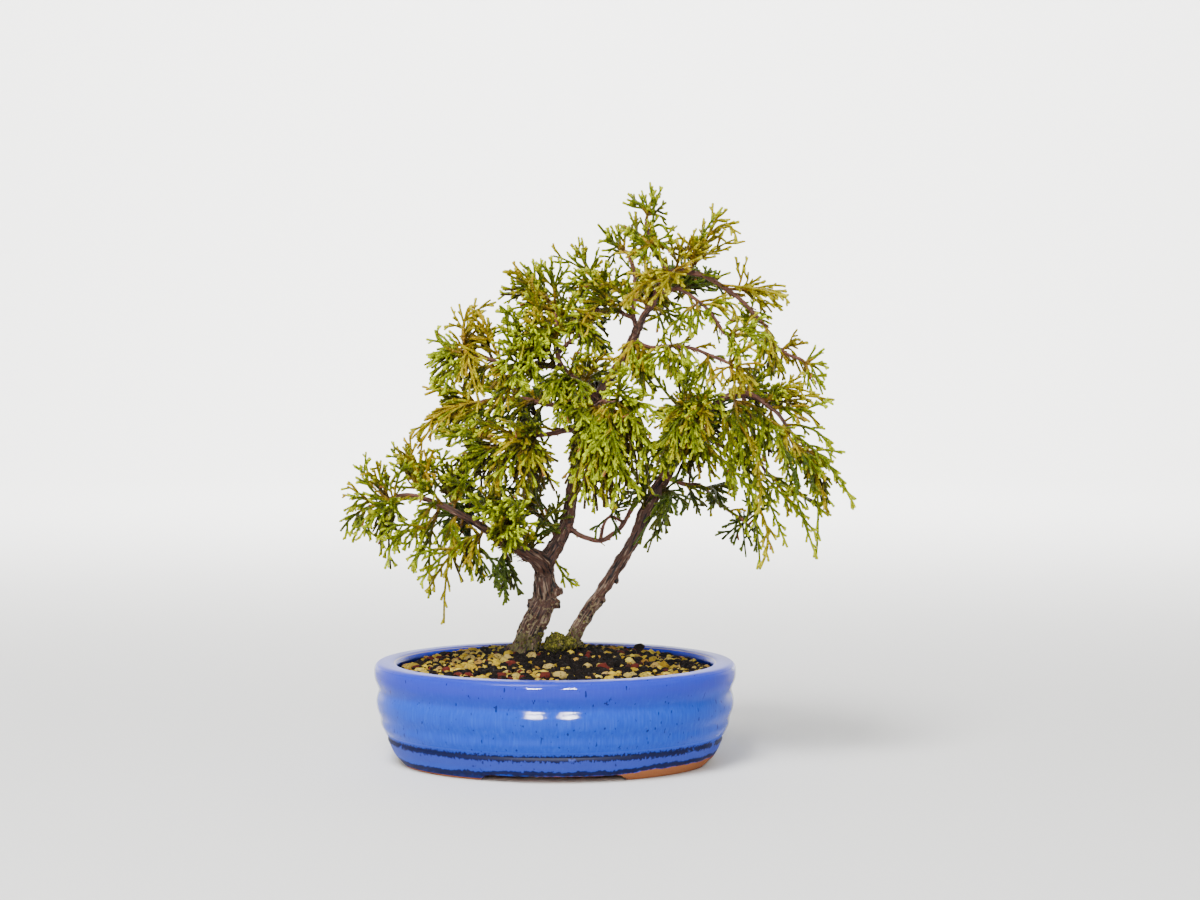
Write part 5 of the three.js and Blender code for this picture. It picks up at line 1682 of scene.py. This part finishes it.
@dataclass
class ThreadPattern:
    """A straight thread with a number of rings, modelled once and laid along every such thread."""

    rings: int
    sides: int = 4
    spokes: Array = None
    rows: Array = None
    faces: list = None

    def model(self) -> None:
        """Draws a small square up ring by ring, and keeps its corners and faces."""
        clear_selection()
        bpy.ops.mesh.primitive_circle_add(vertices=self.sides, radius=1, fill_type="NGON", location=(0, 0, 0))
        piece = open_new()
        for _ in range(self.rings - 1):
            bpy.ops.mesh.extrude_region_move(TRANSFORM_OT_translate={"value": (0, 0, 1)})
        face_out()
        places, self.faces = take_shape(piece)
        self.spokes = places[:, :2]
        self.rows = np.rint(places[:, 2]).astype(int)


class Loom:
    """Turns threads into meshes, with as many rings on each thread as its length needs."""

    ring_gap = 2.9
    fewest_rings = 3
    most_rings = 24
    # How much each second ring stands out, and the radii of the last two rings for the thread's
    knobbly = 0.07
    tip_shares = (1.06, 0.66)
    # Height of the section as a share of its breadth
    section = 0.86
    patterns: dict[int, ThreadPattern] = {}

    def pattern(self, rings: int) -> ThreadPattern:
        """Fetches a pattern, and models it when it is first asked for.

        Args:
            rings: How many rings it has.

        Returns:
            The pattern.
        """
        if rings not in self.patterns:
            self.patterns[rings] = ThreadPattern(rings)
            self.patterns[rings].model()
        return self.patterns[rings]

    def weave(self, name: str, threads: list[Thread]) -> Piece:
        """Lays a pattern along each thread.

        Args:
            name: The new object's name.
            threads: What to weave.

        Returns:
            The mesh object, with the growth values and the painted shade that its finish reads.
        """
        groups: dict[int, list[Thread]] = {}
        for thread in threads:
            rings = round(thread.length() / self.ring_gap) + 2
            rings = min(max(rings, self.fewest_rings), self.most_rings)
            groups.setdefault(rings, []).append(thread)
        places, faces, growth, painted_shade, first = [], [], [], [], 0
        for rings, group in sorted(groups.items()):
            pattern = self.pattern(rings)
            laid, values, shade_values = self.lay(pattern, group)
            places.append(laid.reshape(-1, 3))
            growth.append(values.reshape(-1, 3))
            painted_shade.append(shade_values.ravel())
            for _ in group:
                faces += [[first + corner for corner in face] for face in pattern.faces]
                first += len(pattern.rows)
        piece = mesh_piece(name, np.vstack(places), faces)
        give_values(piece, "growth", np.vstack(growth))
        give_values(piece, "painted_shade", np.concatenate(painted_shade))
        return piece

    def lay(self, pattern: ThreadPattern, group: list[Thread]) -> tuple[Array, Array, Array]:
        """Bends one pattern along many threads.

        Args:
            pattern: The straight thread.
            group: Threads that have its number of rings.

        Returns:
            The corners of each thread, the age, tone and length at each corner, and its painted shade at each
            corner.
        """
        root, crown, tip, thick, thin, old, young, tone, painted_shade = (
            np.array([getattr(thread, part.name) for thread in group])[:, None] for part in fields(Thread))
        t = np.append(np.linspace(0, 1, pattern.rings - 1), 1.0)[None, :, None]
        middle = (1 - t) ** 2 * root + 2 * t * (1 - t) * crown + t * t * tip
        ahead = unit((1 - t) * (crown - root) + t * (tip - crown))
        side = np.cross(crown - root, tip - crown) + 1e-4 * np.array([0.3, 0.9, 0.2])
        side = unit(side - ahead * (side * ahead).sum(2, keepdims=True))
        over = np.cross(ahead, side)
        share = t[..., 0]
        radius = (thick + (thin - thick) * share) * (1 + self.knobbly * (-1.0) ** np.arange(pattern.rings))
        radius[:, -2:] *= self.tip_shares
        middle[:, -1] += ahead[:, -1] * 0.5 * thin
        rows, (x, y) = pattern.rows, pattern.spokes.T
        laid = middle[:, rows] + radius[:, rows, None] * (
            side[:, rows] * x[None, :, None] + self.section * over[:, rows] * y[None, :, None])
        lengths = np.array([thread.length() for thread in group])[:, None]
        values = (old + (young - old) * share, np.broadcast_to(tone, (len(group), pattern.rings)),
                  lengths * share)
        shade_values = np.broadcast_to(painted_shade, (len(group), len(rows)))
        return laid, np.stack([value[:, rows] for value in values], axis=2), shade_values


@dataclass(frozen=True)
class Habit:
    """How side shoots stand on a thread: the first one's place, their gap, reach and lean."""

    first: float
    gap: float
    reach: float
    lean: float


# Habits of the shoots on a stem, and of the small forks on a shoot
FAN_HABITS = (Habit(4.5, 5.4, 13.2, 0.6), Habit(3.8, 4.2, 4.2, 0.72))
LONG_HABITS = (Habit(8.0, 5.6, 9.0, 0.6), Habit(3.4, 3.8, 4.4, 0.7))
SINGLE_HABITS = (Habit(6.0, 3.9, 7.5, 0.7), Habit(3.2, 3.6, 3.6, 0.8))


@dataclass
class Spray:
    """A spray of foliage on its bough."""

    name: str = "sprig"
    growth: Growth = FULL
    root: Array = None
    tips: list[Array] = None
    bud: Array = None
    stems: list[Thread] = field(default_factory=list)
    air: float = 0.45
    bud_radius: float = 1.7
    bud_reach: float = 5.0
    bud_spread: float = 2.8
    stem_radius: float = 1.15
    # Where a stem's crown is: along the way to the tip, and out and up for its reach
    crown_along: float = 0.45
    crown_out: float = 0.1
    crown_up: float = 0.16
    # The line that stems arch away from, and how much of a bend their tips follow
    middle_x: float = 40.0
    tip_follows: float = 0.3
    # Radii at the root and at the tip: of the foot, of a stem and of a thinner stem
    foot_radii: tuple[float, float] = (1.1, 1.0)
    stem_radii: tuple[float, float] = (0.92, 0.76)
    thinner_radii: tuple[float, float] = (0.84, 0.74)
    # How far the tips and the crowns of thinner stems stray
    tip_stray: float = 5.5
    crown_stray: float = 3.5
    # Length from which a stem is held clear as four lines and not as three
    long_stem: float = 34.0
    # Which way the flat side of a fan looks, and how flat the fans are
    fan_facing: Place = (0.08, -1.0, 0.35)
    flat: float = 0.6
    # Radius of a shoot, and how much thinner its tip and each further fork are
    shoot_radius: float = 0.82
    thinning: float = 0.04
    # Height above which shoots rise, and how far they rise or droop for their length
    rising_from: float = 262.0
    rise: float = 0.08
    droop: float = 0.13
    # Highest tone of a fresh thread, the tone of a dry one, and the share of the forks that are dry
    fresh_tone: float = 0.94
    dry_tone: float = 0.99
    dry_share: float = 0.03

    def find_bud(self, room: Room) -> None:
        """Finds the clear place nearest to the bark, towards the spray's tips.

        Args:
            room: What is already taken.
        """
        towards = unit(np.mean(self.tips, axis=0) - self.root)
        places = self.root + towards * np.arange(0.5, 20, 0.25)[:, None]
        lines = np.c_[places, places, np.full(len(places), self.bud_radius)]
        self.bud = places[np.argmax(room.air(lines) >= self.air)]
        room.claim(self.name, np.array([[*self.bud, *self.bud, self.bud_radius]]))

    @staticmethod
    def bends(along: Array) -> Iterator[Array]:
        """Gives ways to bend a stem clear of what it would cross, the smallest first.

        Args:
            along: The stem's direction.

        Yields:
            How far its crown is moved.
        """
        across = unit(np.array([-along[1], along[0], 0.0]))
        yield np.zeros(3)
        for size in (5, 9, 14, 19):
            for direction in (across, np.cross(along, across)):
                yield size * direction
                yield -size * direction

    def arch(self, tip: Array, bend: Array) -> Thread:
        """Lays a stem that arches out of the bud and droops to its tip.

        Args:
            tip: Its end.
            bend: How far its crown is moved.

        Returns:
            The stem.
        """
        tip = tip + self.tip_follows * bend
        reach = np.linalg.norm(tip - self.bud)
        outward = unit(np.array([tip[0] - self.middle_x, tip[1], 0.0]))
        crown = self.bud + self.crown_along * (tip - self.bud) + self.crown_out * reach * outward
        crown = crown + (0, 0, self.crown_up * reach) + bend
        return Thread(self.bud, crown, tip, *self.stem_radii, 0.0, 0.85, 0.5)

    def lay_stem(self, room: Room, tip: Array) -> None:
        """Lays one stem clear of other pieces and of the spray's own stems.

        Args:
            room: What is already taken.
            tip: The stem's end.
        """
        for bend in self.bends(unit(tip - self.bud)):
            stem = self.arch(tip, bend)
            count = self.line_count(stem)
            points = np.array([stem.at(step / count) for step in range(count + 1)])
            lines = np.c_[points[:-1], points[1:], np.full(count, self.stem_radius)]
            starts = [self.start(other) for other in self.stems]
            if (room.air(lines, self.name).min() >= self.air
                    and room.air(lines[1:], self.name, others=False).min() >= self.air
                    and all(np.linalg.norm(start - self.start(stem)) > self.bud_spread for start in starts)):
                room.claim(self.name, lines)
                self.stems.append(stem)
                return

    def line_count(self, stem: Thread) -> int:
        """Gives how many straight lines a stem is held clear as."""
        return 4 if np.linalg.norm(stem.tip - self.bud) > self.long_stem else 3

    def start(self, stem: Thread) -> Array:
        """Gives the place where a stem is clear of the bud."""
        return self.bud_reach * unit(stem.at(1 / self.line_count(stem)) - self.bud)

    def grow(self, dice: Dice) -> list[Thread]:
        """Grows all threads of the spray.

        Args:
            dice: Source of the random draws.

        Returns:
            Its stems, the thinner stems between them, and their shoots.
        """
        habits = LONG_HABITS if self.growth is LONG else FAN_HABITS
        base_tone = dice.uniform(0.2, 0.6)
        threads = [Thread(self.root, (self.root + self.bud) / 2, self.bud, *self.foot_radii, 0.0, 0.1, 0.3)]
        for stem in [*self.stems, *self.thinner_stems(dice)]:
            stem.tone = min(max(dice.gauss(base_tone, 0.16), 0), self.fresh_tone)
            roll = dice.gauss(0, 0.5)
            threads.append(stem)
            threads += self.shoots(stem, habits, 0, roll, dice)
        return threads

    def thinner_stems(self, dice: Dice) -> Iterator[Thread]:
        """Lays shorter stems in the room between the spray's main ones.

        Args:
            dice: Source of the random draws.

        Yields:
            The stems.
        """
        for i, first in enumerate(self.stems):
            for second in self.stems[i:]:
                apart = np.linalg.norm(first.tip - second.tip) + 0.3 * first.length()
                for _ in range(round(apart / self.growth.value)):
                    share, reach = dice.uniform(0.2, 0.8), dice.uniform(0.55, 0.95)
                    jitter = stray(dice, self.tip_stray)
                    tip = self.bud + reach * ((1 - share) * first.tip + share * second.tip - self.bud)
                    crown = self.bud + reach * ((1 - share) * first.crown + share * second.crown - self.bud)
                    crown = crown - 0.4 * jitter + stray(dice, self.crown_stray)
                    yield Thread(self.bud, crown, tip + jitter, *self.thinner_radii, 0.05, 0.9, 0.5)

    def shoots(self, parent: Thread, habits: tuple, order: int, roll: float, dice: Dice) -> Iterator[Thread]:
        """Grows shoots on a thread, one side after the other, and theirs on them.

        Args:
            parent: The thread that they grow on.
            habits: How shoots stand on a stem and on a shoot.
            order: How many threads lie between the parent and the bud.
            roll: Angle of the fan round the parent.
            dice: Source of the random draws.

        Yields:
            The shoots.
        """
        habit, length = habits[order], parent.length()
        side = dice.choice((-1, 1))
        run = habit.first * dice.uniform(0.8, 1.3)
        while run < length - 1.0:
            t = run / length
            reach = habit.reach * self.taper(t, order) * dice.uniform(0.65, 1.25)
            reach = min(reach, 0.9 * (length - run) + 3.2)
            child = self.shoot(parent, t, side, reach, habit.lean, roll, order, dice)
            yield child
            if order == 0 and reach > habits[1].first + 1.5:
                yield from self.shoots(child, habits, order + 1, roll + dice.gauss(0, 0.5), dice)
            run += habit.gap * dice.uniform(0.7, 1.35)
            side = -side

    @staticmethod
    def taper(t: float, order: int) -> float:
        """Tells how long shoots are along a thread: longest at a third of a stem, shorter to each tip.

        Args:
            t: Share of the way to the thread's tip.
            order: How many threads lie between it and the bud.

        Returns:
            The share of their full length.
        """
        if order:
            return 1 - 0.62 * t
        return min(1.0, 0.6 + 1.6 * t) * (1 - 0.6 * max(0.0, t - 0.3) / 0.7)

    def flatten(self, way: Array) -> Array:
        """Turns a direction towards the plane that the spray's fans spread in."""
        facing = unit(np.array(self.fan_facing))
        return unit(way - self.flat * np.dot(way, facing) * facing)

    def shoot(self, parent: Thread, t: float, side: int, reach: float, lean: float, roll: float,
              order: int, dice: Dice) -> Thread:
        """Lays one shoot, which leaves its parent at a slant and bends back to its way.

        Args:
            parent: The thread that it grows on.
            t: Share of the parent's length at its root.
            side: Which side of the parent's fan it is on.
            reach: Its length.
            lean: Its angle to the parent.
            roll: Angle of the fan round the parent.
            order: How many threads lie between the parent and the bud.
            dice: Source of the random draws.

        Returns:
            The shoot.
        """
        ahead = parent.ahead(t)
        level = unit(np.cross(ahead, self.fan_facing))
        up = np.cross(level, ahead)
        turn = roll + dice.gauss(0, 0.35)
        outward = side * (math.cos(turn) * level + math.sin(turn) * up)
        slant = lean + dice.gauss(0, 0.12)
        away = self.flatten(math.cos(slant) * ahead + math.sin(slant) * outward)
        root = parent.at(t)
        rise = self.rise if root[2] > self.rising_from else -self.droop
        crown = root + 0.5 * reach * away
        tip = root + 0.78 * reach * away + 0.26 * reach * self.flatten(ahead) + (0, 0, rise * reach)
        age = parent.old + (parent.young - parent.old) * t
        tone = min(max(parent.tone + dice.gauss(0, 0.1), 0), self.fresh_tone)
        if order and dice.random() < self.dry_share:
            tone = self.dry_tone
        thick = self.shoot_radius - self.thinning * order
        age = max(age, 0.12 + 0.14 * order)
        return Thread(root, crown, tip, thick, thick - self.thinning, age, 1.0, tone)


@dataclass
class Foliage:
    """All sprays, the shoots along the twigs and the dry scales on the bark of twigs."""

    loom: Loom = field(default_factory=Loom)
    # How far each thread of a drape strays from the place in the table
    drape_spreads: tuple[float, ...] = (0.0, 6.0, 8.0)
    # Where threads count that keep the light off another, and how many keep off all of it
    light_way: Place = (-0.2, -0.7, 0.8)
    crowd_share: float = 0.6
    crowd_offset: float = 8.0
    crowd_radius: float = 8.0
    crowd: int = 60
    # Numbers of the random draws of shoots, of scales and of drapes
    seeds: tuple[int, int, int] = (91, 64, 58)

    def build(self) -> None:
        """Grows the sprays, the shoots, the scales and the drapes, and dresses them."""
        sprays = self.lay_out()
        bundles = {"foliage_" + spray.name: (row[1], spray.grow(Dice(number)))
                   for number, (spray, row) in enumerate(zip(sprays, SPRAYS))}
        shoots, scales, drapes = self.seeds
        bundles["twig_shoots"] = (GREEN, list(self.twig_shoots(Dice(shoots))))
        bundles["twig_scales"] = (GREEN, list(self.twig_scales(Dice(scales))))
        anchors = self.find_anchors(sprays)
        for leaf in Leaf:
            threads = list(self.drapes(leaf, anchors, Dice(drapes)))
            bundles[leaf.value.replace("foliage", "drapes")] = (leaf, threads)
        self.find_painted_shade([thread for _, threads in bundles.values() for thread in threads])
        materials = {leaf: finish.material() for leaf, finish in LEAF_FINISHES.items()}
        for name, (leaf, threads) in bundles.items():
            replaced = [name.replace("foliage", "spray")] if name.startswith("foliage") else []
            hand_over(self.loom.weave(name, threads), name, materials[leaf], replaced)

    @staticmethod
    def lay_out() -> list[Spray]:
        """Finds every spray's bud and lays its stems, clear of the wood and of each other.

        Returns:
            The sprays.
        """
        room = Room()
        for stations in ROUTES:
            rows = np.array(stations, float)
            radius = 1.07 * np.maximum(rows[:-1, 3], rows[1:, 3])
            room.claim("wood", np.c_[rows[:-1, :3], rows[1:, :3], radius])
        sprays = []
        for name, _, growth, places in SPRAYS:
            root, *tips = np.array(places, float).reshape(-1, 3)
            sprays.append(Spray(name, growth, root, tips))
        for spray in sprays:
            spray.find_bud(room)
        for spray in sprays:
            for tip in spray.tips:
                spray.lay_stem(room, tip)
        return sprays

    @staticmethod
    def find_anchors(sprays: list[Spray]) -> kdtree.KDTree:
        """Collects places on the twigs and on the sprays' stems.

        Args:
            sprays: The sprays, with their stems laid.

        Returns:
            The places.
        """
        places = [row[:3] for stations in ROUTES for row in curve_through(stations, 2.0)]
        places += [stem.at(step / 16) for spray in sprays for stem in spray.stems for step in range(16)]
        return place_tree(places)

    def find_painted_shade(self, threads: list[Thread]) -> None:
        """Finds how many other threads stand between each thread and the light above the front, as the share
        of painted shade on it.

        Args:
            threads: All threads.
        """
        places = [thread.at(self.crowd_share) for thread in threads]
        tree = place_tree(places)
        above = self.crowd_offset * unit(np.array(self.light_way))
        for thread, place in zip(threads, places):
            painted_shade = len(tree.find_range(place + above, self.crowd_radius)) / self.crowd
            thread.painted_shade = min(painted_shade, 1.0)

    def drapes(self, leaf: Leaf, anchors: kdtree.KDTree, dice: Dice) -> Iterator[Thread]:
        """Grows the tufts and the single threads of one colour between the sprays.

        Args:
            leaf: The colour.
            anchors: Places on twigs and stems, for the single threads to grow from.
            dice: Source of the random draws.

        Yields:
            The threads.
        """
        for root, end in np.array(DRAPES[leaf], float).reshape(-1, 2, 3):
            sprig = Spray(bud=root)
            for spread in self.drape_spreads:
                jitter = stray(dice, spread) * (1, 1, 0.6)
                stem = sprig.arch(end + jitter, -0.5 * jitter)
                stem.tone = dice.uniform(0.1, 0.8)
                yield stem
                yield from sprig.shoots(stem, FAN_HABITS, 0, dice.gauss(0, 0.5), dice)
        for root, crown, tip in np.array(SINGLES[leaf], float).reshape(-1, 3, 3):
            root = np.array(anchors.find(root)[0])
            stem = Thread(root, crown, tip, 0.95, 0.85, 0.2, 1.0, dice.uniform(0.1, 0.5))
            yield stem
            yield from Spray().shoots(stem, SINGLE_HABITS, 0, dice.gauss(0, 0.4), dice)

    @staticmethod
    def walk(stations: list[Station], start: float, rest: int, gap: float, gaps: tuple[float, float],
             dice: Dice) -> Iterator[Thread]:
        """Walks along a twig from place to place.

        Args:
            stations: The twig's stations.
            start: Length left out at its root.
            rest: Length left out at its tip.
            gap: The mean length of a step.
            gaps: Least and greatest length of a step, for its mean.
            dice: Source of the random draws.

        Yields:
            The short part of the twig at each place, with its radius.
        """
        rows = curve_through(stations, 1.0)
        while start < len(rows) - rest:
            place, ahead = rows[int(start), :3], unit(rows[int(start) + 2, :3] - rows[int(start), :3])
            radius = rows[int(start), 3]
            yield Thread(place - ahead, place, place + ahead, radius, radius, 0.0, 0.0, 0.3)
            start += gap * dice.uniform(*gaps)

    def twig_shoots(self, dice: Dice) -> Iterator[Thread]:
        """Grows short leafy shoots along the outer part of the twigs.

        Args:
            dice: Source of the random draws.

        Yields:
            The shoots.
        """
        sprig = Spray()
        for stations in (stations for name, stations in BRANCHES.items() if name not in BARE_BRANCHES):
            for twig in self.walk(stations, 8.0, 4, 1.0, (3.5, 7.5), dice):
                twig.old, twig.young, twig.tone = 0.1, 0.3, dice.uniform(0.1, 0.8)
                reach = dice.uniform(5, 13)
                shoot = sprig.shoot(twig, 0.5, dice.choice((-1, 1)), reach, 0.9, dice.uniform(-3, 3), 0, dice)
                yield shoot
                yield from sprig.shoots(shoot, FAN_HABITS, 1, dice.uniform(-1, 1), dice)

    def twig_scales(self, dice: Dice) -> Iterator[Thread]:
        """Sets small dry spikes on the twigs, and more of them where the low bough starts.

        Args:
            dice: Source of the random draws.

        Yields:
            The spikes.
        """
        sprig = Spray()
        places = [(stations, 2.4, (1.6, 3.4)) for stations in BRANCHES.values()]
        places += [(BOUGHS["low_left"][1:5], 0.25, (1.5, 5.0)), (BOUGHS["cross"], 2.4, (1.2, 2.6))]
        for stations, gap, reaches in places:
            for twig in self.walk(stations, 2.0, 3, gap, (0.6, 1.4), dice):
                reach = dice.uniform(*reaches) + twig.thick
                spike = sprig.shoot(twig, 0.5, 1, reach, 0.75, dice.uniform(-3, 3), 0, dice)
                spike.thick, spike.thin, spike.old, spike.young = 0.6, 0.4, 0.0, dice.uniform(0.0, 0.2)
                yield spike


LEAF_FINISHES = {
    GREEN: ThreadFinish("green_threads"),
    LIME: ThreadFinish("lime_threads", leaf=(0.15, 0.19, 0.001), tip=(0.48, 0.58, 0.004),
                       other=(0.46, 0.32, 0.005)),
    GOLDEN: ThreadFinish("golden_threads", young_wood=(0.25, 0.13, 0.004), leaf=(0.23, 0.185, 0.002),
                         tip=(0.5, 0.45, 0.01), other=(0.36, 0.21, 0.004)),
    # Darker copy of the foliage colours: painted shade
    DARK: ThreadFinish("shaded_threads", wood=(0.05, 0.025, 0.012), young_wood=(0.08, 0.07, 0.006),
                       leaf=(0.045, 0.075, 0.006), tip=(0.1, 0.14, 0.008), other=(0.1, 0.1, 0.006)),
}


@dataclass
class Moss:
    """Small cushions of moss on the knob between the trunks and on the bark near the soil."""

    count: int = 1500
    seed: int = 23
    # Heights between which it grows, and the height by which it has thinned out
    low: float = 54.0
    top: float = 76.0
    fade: float = 22.0
    # Radii of the tufts, and their height as a share of their breadth
    radii: tuple[float, float] = (0.35, 0.85)
    tallness: tuple[float, float] = (0.7, 1.3)
    # Places on the knob that it likes best, each with its reach
    knobs: tuple = ((-0.5, 12, 64, 8.0), (6, 13, 63, 5.0))

    def build(self, bark: Array) -> None:
        """Grows moss on the bark.

        Args:
            bark: Corners of the wood.
        """
        dice = Dice(self.seed)
        shape, faces = self.model_tuft()
        low = bark[(bark[:, 2] > self.low) & (bark[:, 2] < self.top)]
        chances = [self.likes(place) for place in low]
        tufts = []
        for place in dice.choices(low, weights=chances, k=self.count):
            size = dice.uniform(*self.radii)
            tuft = shape * size * np.array([1, 1, dice.uniform(*self.tallness)]) + place
            tufts.append((tuft, faces, dice.random()))
        hand_over(join_copies("moss", tufts), "moss", MossFinish("moss").material())

    @staticmethod
    def model_tuft() -> tuple[Array, list]:
        """Models one tuft a unit in radius.

        Returns:
            Its corners and its faces.
        """
        clear_selection()
        bpy.ops.mesh.primitive_ico_sphere_add(subdivisions=1, radius=1, location=(0, 0, 0))
        tuft = open_new()
        bpy.ops.transform.vertex_random(offset=0.25, uniform=1.0, seed=4)
        return take_shape(tuft)

    def likes(self, place: Array) -> float:
        """Tells how likely moss is at a place: on the knobs, and in patches low on the bark.

        Args:
            place: The place on the bark.

        Returns:
            The chance, with no fixed scale.
        """
        near = max(math.exp(-(np.linalg.norm(place - knob[:3]) / knob[3]) ** 4) for knob in self.knobs)
        patch = max(0.0, noise.noise(Vector(place) * 0.16) - 0.1)
        return near + 0.5 * patch * max(0.0, 1 - (place[2] - self.low) / self.fade)


def main() -> None:
    """Builds the studio and the bonsai, from the pot up, and reports each piece."""
    logging.basicConfig(level=logging.INFO, format="%(message)s")
    Studio().build()
    OvalPot().build()
    Gravel().build()
    mesh_finish = PlainFinish("black_plastic_mesh", linear(0x1c1f1c), 0.6, 0.1).material()
    for name in ("drain_mesh_left", "drain_mesh_right"):
        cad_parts[name].material_slots[0].material = mesh_finish
    bark = TreeWood().build()
    Moss().build(bark)
    Foliage().build()


if __name__ == "__main__":
    main()
